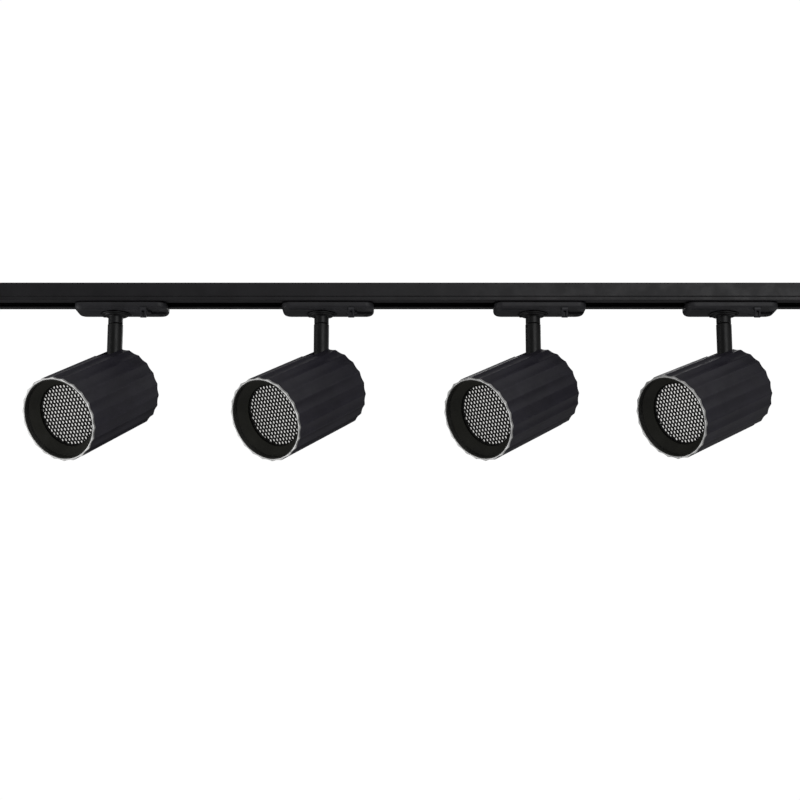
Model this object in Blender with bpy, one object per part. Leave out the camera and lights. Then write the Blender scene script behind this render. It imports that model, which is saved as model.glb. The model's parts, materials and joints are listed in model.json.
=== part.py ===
"""Track lighting fixture: four swivelling spotlights on a surface-mounted, single-circuit track.

Metres, +Z up. The origin is the centre of the rail's top face. The rail runs along X and the
front of the fixture faces -Y. Each spot hangs from an adapter that slides along the rail. Its
lever turns the contact blades, its stem turns about a vertical axis and its head tilts on a pin.
"""

import math

import bmesh
import bpy
from mathutils import Matrix

# --- clearances
TOUCH_GAP = 0.0003  # between pieces that touch on the real object
SLIDE_GAP = 0.0004  # between the adapter and the rail
SWING_GAP = 0.0006  # between the stem and the slot that it swings in
WING_GAP = 0.0005  # between the locking wing's ends and the rail's ribs
HOLDER_GAP = 0.0018  # between the lamp holder and the stem's side

# --- rail section (Y is its width, Z its height)
RAIL_LENGTH = 1.000
RAIL_WIDTH = 0.035
RAIL_HEIGHT = 0.017
RAIL_WALL = 0.0016
RAIL_LIP = 0.0014
SLOT_WIDTH = 0.018
RIB_THICKNESS = 0.0012
RIB_REACH = 0.0034
RIB_BELOW_ROOF = 0.0005
RIB_ABOVE_LIP = 0.0015
RAIL_FILLET = 0.0010
GROOVE_FROM_BOTTOM = 0.0035
GROOVE_HEIGHT = 0.0009
GROOVE_DEPTH = 0.0005
FIXING_HOLE_RADIUS = 0.00225
FIXING_HOLE_PITCH = 0.300
FIXING_HOLE_MARGIN = 0.040  # the least from a hole to the rail's end

# --- insulating liners and copper strips
LINER_FROM_SLOT = 0.0014  # how far the liner stands back from the slot's edge
LINER_WALL = 0.0012  # behind its groove
LINER_GROOVE_HEIGHT = 0.0032
STRIP_THICKNESS = 0.0008
STRIP_OVERRUN = 0.012  # how far the copper runs into the power feed
LINER_END_GAP = 0.001  # liner and copper stop short of the end cap

# --- end cap and power feed
CAP_THICKNESS = 0.003
PLUG_LENGTH = 0.012
FEED_LENGTH = 0.058
FEED_WALL = 0.0018
FEED_TONGUE_LENGTH = 0.020
FEED_TONGUE_THICKNESS = 0.0026
CABLE_HOLE_RADIUS = 0.004

# --- adapter
ADAPTER_LEFT_REACH = 0.036  # from the stem's axis to the adapter's left end
ADAPTER_SIDE_SETBACK = 0.001  # how far its sides stand back from the rail's
ADAPTER_THICKNESS = 0.0078
ADAPTER_CORNER = 0.008
ADAPTER_TOP_FILLET = 0.0015
ADAPTER_BOTTOM_FILLET = 0.0042
ADAPTER_FLOOR = 0.0024
NECK_WALL = 0.0016
NECK_END_INSET = 0.002
NECK_TOP_CLEARANCE = 0.0016
HEEL_LENGTH = 0.0047  # the short stretch of neck beyond the contact blades

# --- lever, locking wing and contact blades
LEVER_PLACE = 0.0277  # the lever's axis, to the right of the stem
LEVER_SHAFT_RADIUS = 0.005
LEVER_HUB_RADIUS = 0.007
LEVER_ARM_WIDTH = 0.0054
LEVER_ARM_THICKNESS = 0.0029
LEVER_OVERHANG = 0.0017  # how far the thumb tab stands out of the adapter's side
LEVER_TAB_DROP = 0.0070  # how far it hangs below the adapter
LEVER_TAB_ROOT = 0.0040  # its thickness at the arm
LEVER_TAB_TIP = 0.0024  # its thickness at the tip
LEVER_TAB_LEAN = 0.0024  # how far the tip's front lies behind the tab's front
HUB_ABOVE_CONTACT = 0.0032
WING_WIDTH = 0.008
WING_THICKNESS = 0.002
BLADE_WIDTH = 0.005
BLADE_THICKNESS = 0.0010
BLADE_ROOT = 0.0022

# --- stem
STEM_RADIUS = 0.0070
STEM_WALL = 0.0022  # round the spigot
STEM_BORE_RADIUS = 0.0025
STUB_STEP = 0.0003  # how much smaller the fixed stub's radius is
STUB_LENGTH = 0.0073
COLLAR_WIDTH = 0.0040  # outside the stem
COLLAR_THICKNESS = 0.0013
FLANGE_WIDTH = 0.0020  # outside the collar
FLANGE_THICKNESS = 0.0010
NIPPLE_RADIUS = 0.0037
NIPPLE_LENGTH = 0.0065
WIRE_HOLE_RADIUS = 0.0020
SPIGOT_LENGTH = 0.009
STEM_LENGTH = 0.0637  # from the seam down to the tilt axis

# --- head, measured along its own axis
HEAD_RADIUS = 0.0382  # at the front ring's ridges
HEAD_LENGTH = 0.1016
HEAD_DRAFT = 0.0009  # how much smaller the ridges' radius is at the rear
PIVOT_FROM_REAR = 0.0188
FLUTES = 22
FLUTE_DEPTH = 0.0010
HEAD_REAR_CHAMFER = 0.0010
HEAD_REAR_WALL = 0.0024
RING_WIDTH = 0.0023
RING_THICKNESS = 0.0015
SHOULDER_STEP = 0.0024  # the seat that the baffle rests on
BAFFLE_WALL = 0.0006
BAFFLE_LIP = 0.0036
BAFFLE_DEPTH = 0.0121
BAFFLE_CONE_WIDTH = 0.0073
BAFFLE_REAR_LIP = 0.0006
LOUVRE_EDGE = 0.0007
LOUVRE_THICKNESS = 0.0036
LOUVRE_TO_SHOULDER = 0.0014
SLEEVE_WALL = 0.0013
BAFFLE_FLANGE = 0.0012
EAR_THICKNESS = 0.0040
EAR_HALF_HEIGHT = 0.0055
EAR_REACH = 0.0055
PIN_RADIUS = 0.0020
PIN_HOLE_CLEARANCE = 0.0004

# --- lamp and holder
LAMP_RADIUS = 0.025
LAMP_RIM_LENGTH = 0.005
LAMP_BULGE = 0.0020  # how far the reflector bows out of a straight taper
LAMP_NECK_RADIUS = 0.0145
LAMP_NECK_LENGTH = 0.0116
LAMP_NECK_CHAMFER = 0.0015
LAMP_NECK_CHAMFER_HEIGHT = 0.0033
LAMP_PIN_RADIUS = 0.0018
LAMP_PIN_LENGTH = 0.0055
LAMP_PIN_PITCH = 0.010
HOLDER_RADIUS = 0.0130
HOLDER_LENGTH = 0.0120

# --- where each spot hangs along the rail, and where it aims: pan towards -X, tilt downwards
SPOTS = (
    {"place": -0.261, "pan": 28.5, "tilt": 25.5},
    {"place": -0.072, "pan": 37.5, "tilt": 25.0},
    {"place": 0.122, "pan": 45.5, "tilt": 24.0},
    {"place": 0.297, "pan": 50.5, "tilt": 22.0},
)

# --- heights and reaches that follow from the sizes above
SLOT_HALF = SLOT_WIDTH / 2
RAIL_HALF = RAIL_WIDTH / 2
CHAMBER_HALF = RAIL_HALF - RAIL_WALL
RIB_END = CHAMBER_HALF - RIB_REACH
RAIL_BOTTOM = -RAIL_HEIGHT
LIP_TOP = RAIL_BOTTOM + RAIL_LIP
FIXING_HOLES = 1 + int((RAIL_LENGTH - 2 * FIXING_HOLE_MARGIN) / FIXING_HOLE_PITCH)
UPPER_RIB_TOP = -RAIL_WALL - RIB_BELOW_ROOF
UPPER_RIB_BOTTOM = UPPER_RIB_TOP - RIB_THICKNESS
LOWER_RIB_BOTTOM = LIP_TOP + RIB_ABOVE_LIP
LOWER_RIB_TOP = LOWER_RIB_BOTTOM + RIB_THICKNESS
LINER_TOP = UPPER_RIB_BOTTOM - TOUCH_GAP
LINER_BOTTOM = LOWER_RIB_TOP + TOUCH_GAP
LINER_OUTER = CHAMBER_HALF - TOUCH_GAP
LINER_INNER = SLOT_HALF + LINER_FROM_SLOT
GROOVE_END = LINER_OUTER - LINER_WALL
CONTACT_HEIGHT = (LINER_TOP + LINER_BOTTOM) / 2
STRIP_OUTER = GROOVE_END - TOUCH_GAP
STRIP_INNER = STRIP_OUTER - STRIP_THICKNESS

BLADE_REACH = STRIP_INNER - TOUCH_GAP
BLADE_ROOM = BLADE_REACH + SWING_GAP
WING_REACH = RIB_END - WING_GAP
ADAPTER_TOP = RAIL_BOTTOM - SLIDE_GAP
ADAPTER_BOTTOM = ADAPTER_TOP - ADAPTER_THICKNESS
ADAPTER_WIDTH = RAIL_WIDTH - 2 * ADAPTER_SIDE_SETBACK
NECK_RIGHT = LEVER_PLACE + BLADE_ROOM + HEEL_LENGTH
NECK_LEFT = -ADAPTER_LEFT_REACH + NECK_END_INSET
ADAPTER_RIGHT_REACH = NECK_RIGHT + NECK_END_INSET
ADAPTER_LENGTH = ADAPTER_LEFT_REACH + ADAPTER_RIGHT_REACH
ADAPTER_OFFSET = (ADAPTER_RIGHT_REACH - ADAPTER_LEFT_REACH) / 2
LEVER_REACH = ADAPTER_WIDTH / 2 + LEVER_OVERHANG
NECK_HALF = SLOT_HALF - SLIDE_GAP
NECK_TOP = -RAIL_WALL - NECK_TOP_CLEARANCE
POCKET_TOP = ADAPTER_BOTTOM + LEVER_ARM_THICKNESS + 2 * TOUCH_GAP

STUB_RADIUS = STEM_RADIUS - STUB_STEP
SPIGOT_RADIUS = STEM_RADIUS - STEM_WALL - TOUCH_GAP
COLLAR_RADIUS = STEM_RADIUS + COLLAR_WIDTH
FLANGE_RADIUS = COLLAR_RADIUS + FLANGE_WIDTH
SOCKET_TOP = ADAPTER_BOTTOM - TOUCH_GAP
STUB_TOP = SOCKET_TOP - FLANGE_THICKNESS - COLLAR_THICKNESS
STUB_BOTTOM = STUB_TOP - STUB_LENGTH
SEAM = STUB_BOTTOM - TOUCH_GAP

HEAD_FRONT = HEAD_LENGTH - PIVOT_FROM_REAR
HEAD_REAR = -PIVOT_FROM_REAR
RING_INNER = HEAD_RADIUS - RING_WIDTH
HOUSING_FRONT = HEAD_FRONT - RING_THICKNESS - TOUCH_GAP
HOUSING_BORE = RING_INNER - SHOULDER_STEP
BAFFLE_OUTER = RING_INNER - TOUCH_GAP
BAFFLE_OPENING_RADIUS = BAFFLE_OUTER - BAFFLE_CONE_WIDTH
CONE_END = HEAD_FRONT - BAFFLE_DEPTH
STEM_SLOT_HALF = STEM_RADIUS + SWING_GAP
LOUVRE_RADIUS = BAFFLE_OPENING_RADIUS + LOUVRE_EDGE
LOUVRE_FRONT = CONE_END - BAFFLE_REAR_LIP - TOUCH_GAP
LOUVRE_REAR = LOUVRE_FRONT - LOUVRE_THICKNESS
SHOULDER = LOUVRE_REAR - LOUVRE_TO_SHOULDER
LAMP_FRONT = SHOULDER - TOUCH_GAP
HOLDER_REAR = STEM_RADIUS + HOLDER_GAP
HOLDER_FRONT = HOLDER_REAR + HOLDER_LENGTH

# --- how finely round shapes are cut
FINE = 30
COARSE = 16
MEDIUM = 20
SMALL = 12
POINTS_PER_FLUTE = 3
CORNER_STEPS = 4
FILLET_STEPS = 3
SLOT_END_STEPS = 6
SLAB_TOP_ANGLES = (0, 45, 90)
SLAB_BOTTOM_ANGLES = (0, 35, 65, 90)
SHARP_ANGLE = 40  # degrees between two faces that keep their edge when shaded
AXIS_MARK_SIZE = 0.010  # of the empties that mark the joint axes

# --- how far shapes run into each other when they are cut or joined
CUT_MARGIN = 0.004  # a cutter runs this far past the wall that it cuts
JOIN_OVERLAP = 0.001  # a joined shape reaches this far into its neighbour

FORWARD = Matrix.Rotation(math.radians(90), 4, "X")  # a shape drawn along +Z then points to -Y
SWAP_Y_AND_Z = Matrix(((1, 0, 0, 0), (0, 0, 1, 0), (0, 1, 0, 0), (0, 0, 0, 1)))
Z_TO_X = Matrix(((0, 0, 1, 0), (1, 0, 0, 0), (0, 1, 0, 0), (0, 0, 0, 1)))  # and X to Y, Y to Z


def clear_scene():
    for item in list(bpy.data.objects):
        bpy.data.objects.remove(item, do_unlink=True)


def material(name, colour, roughness, metallic=0.0):
    made = bpy.data.materials.new(name)
    made.use_nodes = True
    shader = made.node_tree.nodes["Principled BSDF"]
    shader.inputs["Base Color"].default_value = (*colour, 1.0)
    shader.inputs["Roughness"].default_value = roughness
    shader.inputs["Metallic"].default_value = metallic
    return made


# --- outlines in a plane


def arc(centre_x, centre_y, radius, start, end, steps):
    """Points along an arc, in degrees, with both ends."""
    points = []
    for step in range(steps + 1):
        angle = math.radians(start + (end - start) * step / steps)
        points.append((centre_x + radius * math.cos(angle), centre_y + radius * math.sin(angle)))
    return points


def rectangle(low_x, high_x, low_y, high_y):
    return [(low_x, low_y), (high_x, low_y), (high_x, high_y), (low_x, high_y)]


def rounded_rectangle(centre_x, centre_y, half_x, half_y, radius, steps):
    points = []
    for quarter, (side_x, side_y) in enumerate(((1, 1), (-1, 1), (-1, -1), (1, -1))):
        corner_x = centre_x + side_x * (half_x - radius)
        corner_y = centre_y + side_y * (half_y - radius)
        points += arc(corner_x, corner_y, radius, 90 * quarter, 90 * quarter + 90, steps)
    return points


def stadium(half_length, half_width, steps):
    """A strip with two round ends, along X."""
    reach = half_length - half_width
    return arc(reach, 0, half_width, -90, 90, steps) + arc(-reach, 0, half_width, 90, 270, steps)


def circle(centre_x, centre_y, radius, count):
    """Points all round a circle, without the last one that would meet the first."""
    return arc(centre_x, centre_y, radius, 0, 360 - 360 / count, count - 1)


def fluted_outline(over_ridges):
    """A circle of concave flutes that meet in ridges."""
    points = []
    for step in range(FLUTES * POINTS_PER_FLUTE):
        across = (step % POINTS_PER_FLUTE) / POINTS_PER_FLUTE
        angle = 2 * math.pi * step / (FLUTES * POINTS_PER_FLUTE)
        radius = over_ridges - FLUTE_DEPTH * math.sin(math.pi * across)
        points.append((radius * math.cos(angle), radius * math.sin(angle)))
    return points


# --- meshes


def mesh_of(name, vertices, faces):
    mesh = bpy.data.meshes.new(name)
    mesh.from_pydata(vertices, [], faces)
    shape = bmesh.new()
    shape.from_mesh(mesh)
    bmesh.ops.recalc_face_normals(shape, faces=shape.faces[:])
    shape.to_mesh(mesh)
    shape.free()
    return mesh


def loft(name, outlines):
    """A solid through (outline, height) pairs whose outlines have as many points each."""
    count = len(outlines[0][0])
    vertices = [(x, y, height) for outline, height in outlines for x, y in outline]
    faces = [tuple(range(count))]
    faces.append(tuple(range(len(vertices) - count, len(vertices))))
    for ring in range(len(outlines) - 1):
        low = ring * count
        for step in range(count):
            after = (step + 1) % count
            faces.append((low + step, low + after, low + count + after, low + count + step))
    return mesh_of(name, vertices, faces)


def prism(name, outline, low, high):
    """An outline in X and Y, from one height to another."""
    return loft(name, [(outline, low), (outline, high)])


def bar(name, outline, low_x, high_x):
    """An outline in Y and Z, from one X to another."""
    mesh = loft(name, [(outline, low_x), (outline, high_x)])
    mesh.transform(Z_TO_X)
    return mesh


def box(name, low, high):
    return prism(name, rectangle(low[0], high[0], low[1], high[1]), low[2], high[2])


def turned(name, profile, segments):
    """A solid turned about Z from (radius, height) points. A profile that starts and ends on
    the axis is closed by it, and any other is a closed ring."""
    vertices = []
    rings = []
    for radius, height in profile:
        count = 1 if radius == 0 else segments
        rings.append([len(vertices) + step for step in range(count)])
        for step in range(count):
            angle = 2 * math.pi * step / segments
            vertices.append((radius * math.cos(angle), radius * math.sin(angle), height))
    pairs = list(zip(rings, rings[1:]))
    if profile[0][0] > 0:
        pairs.append((rings[-1], rings[0]))
    faces = []
    for one, other in pairs:
        for step in range(segments):
            corners = []
            for ring, place in ((one, step), (one, step + 1), (other, step + 1), (other, step)):
                corner = ring[place % len(ring)]
                if corner not in corners:
                    corners.append(corner)
            faces.append(corners)
    return mesh_of(name, vertices, faces)


# --- objects


def place(name, mesh, parent=None, local=None):
    item = bpy.data.objects.new(name, mesh)
    bpy.context.scene.collection.objects.link(item)
    item.parent = parent
    if local is not None:
        item.matrix_basis = local
    return item


def node(name, mesh, finish, parent=None, local=None):
    mesh.materials.append(finish)
    mesh.shade_smooth()
    mesh.set_sharp_from_angle(angle=math.radians(SHARP_ANGLE))
    return place(name, mesh, parent, local)


def helper(mesh, parent=None, local=None):
    item = place(mesh.name, mesh, parent, local)
    item.hide_render = True
    item.display_type = "WIRE"
    return item


def combine(item, operation, mesh, local=None):
    """Adds or cuts a shape that is drawn in the item's own space."""
    tool = helper(mesh, item.parent, item.matrix_basis @ local if local else item.matrix_basis)
    step = item.modifiers.new(mesh.name, "BOOLEAN")
    step.operation = operation
    step.solver = "EXACT"
    step.object = tool


def join(item, mesh, local=None):
    combine(item, "UNION", mesh, local)


def cut(item, mesh, local=None):
    combine(item, "DIFFERENCE", mesh, local)


def axis_empty(name, local, parent=None):
    """An empty on a joint's axis, which carries the pieces that the joint moves."""
    item = place(name, None, parent, local)
    item.empty_display_size = AXIS_MARK_SIZE
    return item


# --- the rail and what is fixed in it


def rail_side(sign):
    """One side of the rail's section, from the top's middle round to the slot."""
    groove_low = RAIL_BOTTOM + GROOVE_FROM_BOTTOM
    points = arc(RAIL_HALF - RAIL_FILLET, -RAIL_FILLET, RAIL_FILLET, 90, 0, FILLET_STEPS)
    points += [
        (RAIL_HALF, groove_low + GROOVE_HEIGHT),
        (RAIL_HALF - GROOVE_DEPTH, groove_low + GROOVE_HEIGHT / 2),
        (RAIL_HALF, groove_low),
    ]
    lower = RAIL_BOTTOM + RAIL_FILLET
    points += arc(RAIL_HALF - RAIL_FILLET, lower, RAIL_FILLET, 0, -90, FILLET_STEPS)
    points += [(SLOT_HALF, RAIL_BOTTOM), (SLOT_HALF, LIP_TOP), (CHAMBER_HALF, LIP_TOP)]
    for top, bottom in ((LOWER_RIB_TOP, LOWER_RIB_BOTTOM), (UPPER_RIB_TOP, UPPER_RIB_BOTTOM)):
        points += [
            (CHAMBER_HALF, bottom),
            (RIB_END, bottom),
            (RIB_END, top),
            (CHAMBER_HALF, top),
        ]
    points.append((CHAMBER_HALF, -RAIL_WALL))
    return [(sign * y, z) for y, z in points]


def make_rail(finish):
    outline = rail_side(1) + rail_side(-1)[::-1]
    rail = node("track_rail", bar("track_rail", outline, -RAIL_LENGTH / 2, RAIL_LENGTH / 2), finish)
    for number in range(FIXING_HOLES):
        x = (number - (FIXING_HOLES - 1) / 2) * FIXING_HOLE_PITCH
        outline = circle(x, 0, FIXING_HOLE_RADIUS, SMALL)
        cut(rail, prism("fixing_hole", outline, -RAIL_WALL - CUT_MARGIN, CUT_MARGIN))


def body_outline():
    """The rail's outer section, without its groove, for the pieces at its two ends."""
    half_height = RAIL_HEIGHT / 2
    return rounded_rectangle(0, -half_height, RAIL_HALF, half_height, RAIL_FILLET, FILLET_STEPS)


def make_liner(name, sign, finish):
    groove_top = CONTACT_HEIGHT + LINER_GROOVE_HEIGHT / 2
    groove_bottom = CONTACT_HEIGHT - LINER_GROOVE_HEIGHT / 2
    outline = [
        (LINER_INNER, LINER_BOTTOM),
        (LINER_OUTER, LINER_BOTTOM),
        (LINER_OUTER, LINER_TOP),
        (LINER_INNER, LINER_TOP),
        (LINER_INNER, groove_top),
        (GROOVE_END, groove_top),
        (GROOVE_END, groove_bottom),
        (LINER_INNER, groove_bottom),
    ]
    outline = [(sign * y, z) for y, z in outline]
    node(name, bar(name, outline, -RAIL_LENGTH / 2, RAIL_LENGTH / 2 - LINER_END_GAP), finish)


def make_conductor(name, sign, finish):
    half_height = LINER_GROOVE_HEIGHT / 2 - TOUCH_GAP
    sides = sorted((sign * STRIP_INNER, sign * STRIP_OUTER))
    low = (-RAIL_LENGTH / 2 - STRIP_OVERRUN, sides[0], CONTACT_HEIGHT - half_height)
    high = (RAIL_LENGTH / 2 - LINER_END_GAP, sides[1], CONTACT_HEIGHT + half_height)
    node(name, box(name, low, high), finish)


def make_end_cap(finish):
    low = RAIL_LENGTH / 2 + TOUCH_GAP
    cap = node("end_cap", bar("end_cap", body_outline(), low, low + CAP_THICKNESS), finish)
    plug = box(
        "end_cap_plug",
        (RAIL_LENGTH / 2 - PLUG_LENGTH, -NECK_HALF, LIP_TOP),
        (low + CAP_THICKNESS / 2, NECK_HALF, -RAIL_WALL - TOUCH_GAP),
    )
    join(cap, plug)


def make_feed(finish):
    high = -RAIL_LENGTH / 2 - TOUCH_GAP
    low = high - FEED_LENGTH
    housing = node("feed_housing", bar("feed_housing", body_outline(), low, high), finish)
    inner_half = RAIL_HALF - FEED_WALL
    hollow = box(
        "feed_hollow",
        (low + FEED_WALL, -inner_half, RAIL_BOTTOM - CUT_MARGIN),
        (high + CUT_MARGIN, inner_half, -FEED_WALL),
    )
    cut(housing, hollow)
    tongue = box(
        "feed_tongue",
        (high - CUT_MARGIN, -NECK_HALF, -RAIL_WALL - TOUCH_GAP - FEED_TONGUE_THICKNESS),
        (high + FEED_TONGUE_LENGTH, NECK_HALF, -RAIL_WALL - TOUCH_GAP),
    )
    link = box(
        "feed_tongue_root",
        (high - CUT_MARGIN, -NECK_HALF, -FEED_WALL - FEED_TONGUE_THICKNESS),
        (high - TOUCH_GAP, NECK_HALF, -FEED_WALL / 2),
    )
    join(housing, tongue)
    join(housing, link)
    outline = circle(0, RAIL_BOTTOM / 2, CABLE_HOLE_RADIUS, COARSE)
    cut(housing, bar("cable_inlet", outline, low - CUT_MARGIN, low + CUT_MARGIN))
    cover_half = inner_half - TOUCH_GAP
    cover = box(
        "feed_cover",
        (low + FEED_WALL + TOUCH_GAP, -cover_half, RAIL_BOTTOM),
        (high, cover_half, RAIL_BOTTOM + FEED_WALL),
    )
    node("feed_cover", cover, finish)


# --- one spot: the adapter and its lever


def adapter_slab():
    """The visible slab, with rounded edges above and below."""
    outlines = []
    steps = []
    for angle in SLAB_TOP_ANGLES:
        turn = math.radians(angle)
        inset = ADAPTER_TOP_FILLET * (1 - math.sin(turn))
        steps.append((inset, ADAPTER_TOP - ADAPTER_TOP_FILLET * (1 - math.cos(turn))))
    for angle in SLAB_BOTTOM_ANGLES:
        turn = math.radians(angle)
        inset = ADAPTER_BOTTOM_FILLET * (1 - math.cos(turn))
        steps.append((inset, ADAPTER_BOTTOM + ADAPTER_BOTTOM_FILLET * (1 - math.sin(turn))))
    for inset, height in steps:
        outline = rounded_rectangle(
            ADAPTER_OFFSET,
            0,
            ADAPTER_LENGTH / 2 - inset,
            ADAPTER_WIDTH / 2 - inset,
            ADAPTER_CORNER - inset,
            CORNER_STEPS,
        )
        outlines.append((outline, height))
    return loft("adapter_slab", outlines)


def make_adapter(number, carrier, finish):
    """The slab with a hollow neck and a solid heel that run in the slot, and the blades between."""
    adapter = node(f"adapter_body_{number}", adapter_slab(), finish, carrier)
    neck_root = ADAPTER_TOP - JOIN_OVERLAP
    neck_end = LEVER_PLACE - BLADE_ROOM
    heel_start = LEVER_PLACE + BLADE_ROOM
    floor_top = ADAPTER_BOTTOM + ADAPTER_FLOOR
    low = (NECK_LEFT, -NECK_HALF, neck_root)
    join(adapter, box("adapter_neck", low, (neck_end, NECK_HALF, NECK_TOP)))
    low = (heel_start, -NECK_HALF, neck_root)
    join(adapter, box("adapter_heel", low, (NECK_RIGHT, NECK_HALF, NECK_TOP)))
    inner_half = NECK_HALF - NECK_WALL
    low = (NECK_LEFT + NECK_WALL, -inner_half, floor_top)
    cut(adapter, box("adapter_hollow", low, (neck_end - NECK_WALL, inner_half, CUT_MARGIN)))
    outline = circle(0, 0, NIPPLE_RADIUS + TOUCH_GAP, COARSE)
    below = ADAPTER_BOTTOM - CUT_MARGIN
    cut(adapter, prism("nipple_hole", outline, below, floor_top + JOIN_OVERLAP))
    outline = circle(LEVER_PLACE, 0, LEVER_SHAFT_RADIUS + TOUCH_GAP, COARSE + 2)
    cut(adapter, prism("shaft_hole", outline, below, ADAPTER_TOP + CUT_MARGIN))
    cut(adapter, prism("lever_pocket", lever_sweep(), below, POCKET_TOP))


def lever_sweep():
    """The outline that the lever's arm covers as it turns a quarter turn from the front."""
    side = LEVER_ARM_WIDTH / 2 + TOUCH_GAP
    reach = LEVER_REACH + SWING_GAP
    spread = math.degrees(math.asin(side / reach))
    sweep = [(-side, side)] + arc(0, 0, reach, -90 - spread, spread, COARSE // 2 + 1)
    return [(LEVER_PLACE + x, y) for x, y in sweep]


def make_lever(number, axis, finish):
    """Arm and thumb tab below, then shaft, locking wing and hub, in one moulding."""
    arm_top = POCKET_TOP - TOUCH_GAP
    arm_bottom = arm_top - LEVER_ARM_THICKNESS
    wing_bottom = LIP_TOP + TOUCH_GAP
    wing_top = wing_bottom + WING_THICKNESS
    hub_top = CONTACT_HEIGHT + HUB_ABOVE_CONTACT
    profile = [
        (0, arm_bottom),
        (LEVER_SHAFT_RADIUS, arm_bottom),
        (LEVER_SHAFT_RADIUS, wing_top),
        (LEVER_HUB_RADIUS, wing_top),
        (LEVER_HUB_RADIUS, hub_top),
        (0, hub_top),
    ]
    name = f"lock_lever_{number}"
    lever = node(name, turned(name, profile, COARSE), finish, axis)
    half = LEVER_ARM_WIDTH / 2
    front = -LEVER_REACH
    arm = rectangle(-half, half, front + LEVER_TAB_ROOT - JOIN_OVERLAP, 0)
    join(lever, prism("lever_arm", arm, arm_bottom + TOUCH_GAP / 2, arm_top))
    tab_bottom = ADAPTER_BOTTOM - LEVER_TAB_DROP
    tab = [
        (front, arm_top),
        (front, ADAPTER_BOTTOM),
        (front + LEVER_TAB_LEAN, tab_bottom),
        (front + LEVER_TAB_LEAN + LEVER_TAB_TIP, tab_bottom),
        (front + LEVER_TAB_ROOT, arm_top),
    ]
    join(lever, bar("lever_tab", tab, -half, half))
    wing = [(y, x) for x, y in stadium(WING_REACH, WING_WIDTH / 2, CORNER_STEPS)]
    join(lever, prism("locking_wing", wing, wing_bottom, wing_top + TOUCH_GAP))
    for sign in (-1, 1):
        edge = sorted((sign * (BLADE_ROOT - TOUCH_GAP), sign * (LEVER_HUB_RADIUS + CUT_MARGIN)))
        room = BLADE_THICKNESS / 2 + TOUCH_GAP
        width = BLADE_WIDTH / 2 + TOUCH_GAP
        low = (-width, edge[0], CONTACT_HEIGHT - room)
        high = (width, edge[1], CONTACT_HEIGHT + room)
        cut(lever, box("blade_slot", low, high))


def make_blade(name, sign, axis, finish):
    half = BLADE_WIDTH / 2
    spread = math.degrees(math.asin(half / BLADE_REACH))
    outline = [(half, BLADE_ROOT)] + arc(0, 0, BLADE_REACH, 90 - spread, 90 + spread, CORNER_STEPS)
    outline.append((-half, BLADE_ROOT))
    outline = [(x, sign * y) for x, y in outline]
    low = CONTACT_HEIGHT - BLADE_THICKNESS / 2
    node(name, prism(name, outline, low, low + BLADE_THICKNESS), finish, axis)


# --- one spot: the stem


def make_socket(number, carrier, finish):
    """Threaded nipple, flange, collar ring, upper stub and the spigot that the stem turns on."""
    profile = [
        (WIRE_HOLE_RADIUS, SOCKET_TOP + NIPPLE_LENGTH),
        (NIPPLE_RADIUS, SOCKET_TOP + NIPPLE_LENGTH),
        (NIPPLE_RADIUS, SOCKET_TOP),
        (FLANGE_RADIUS, SOCKET_TOP),
        (FLANGE_RADIUS, SOCKET_TOP - FLANGE_THICKNESS),
        (COLLAR_RADIUS, SOCKET_TOP - FLANGE_THICKNESS),
        (COLLAR_RADIUS, STUB_TOP),
        (STUB_RADIUS, STUB_TOP),
        (STUB_RADIUS, STUB_BOTTOM),
        (SPIGOT_RADIUS, STUB_BOTTOM),
        (SPIGOT_RADIUS, STUB_BOTTOM - SPIGOT_LENGTH),
        (WIRE_HOLE_RADIUS, STUB_BOTTOM - SPIGOT_LENGTH),
    ]
    name = f"stem_socket_{number}"
    node(name, turned(name, profile, COARSE), finish, carrier)


def make_stem(number, axis, finish):
    """A tube down to the tilt axis, round at its end, drawn from the seam downwards."""
    bore = SPIGOT_RADIUS + TOUCH_GAP
    shoulder = -SPIGOT_LENGTH - 2 * TOUCH_GAP
    bore_end = -STEM_LENGTH + 2 * STEM_RADIUS
    profile = [
        (0, bore_end),
        (STEM_BORE_RADIUS, bore_end),
        (STEM_BORE_RADIUS, shoulder),
        (bore, shoulder),
        (bore, 0),
        (STEM_RADIUS, 0),
    ]
    profile += [(y, x - STEM_LENGTH) for x, y in arc(0, 0, STEM_RADIUS, 90, 150, 2)]
    profile.append((0, -STEM_LENGTH - STEM_RADIUS))
    name = f"stem_tube_{number}"
    stem = node(name, turned(name, profile, COARSE), finish, axis)
    hole = circle(0, -STEM_LENGTH, PIN_RADIUS + PIN_HOLE_CLEARANCE, SMALL)
    reach = STEM_RADIUS + CUT_MARGIN
    cut(stem, bar("pin_hole", hole, -reach, reach))


def make_pin(number, axis, finish):
    reach = STEM_SLOT_HALF + EAR_THICKNESS
    name = f"tilt_pin_{number}"
    outline = circle(0, 0, PIN_RADIUS, SMALL)
    node(name, bar(name, outline, -reach, reach), finish, axis)


# --- one spot: the head, drawn along its axis with the front towards +Z and its top towards +Y


def ridge_radius(height):
    """The radius over the ridges, which shrinks by the draft from front to rear."""
    return HEAD_RADIUS - HEAD_DRAFT * (HEAD_FRONT - height) / HEAD_LENGTH


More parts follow.
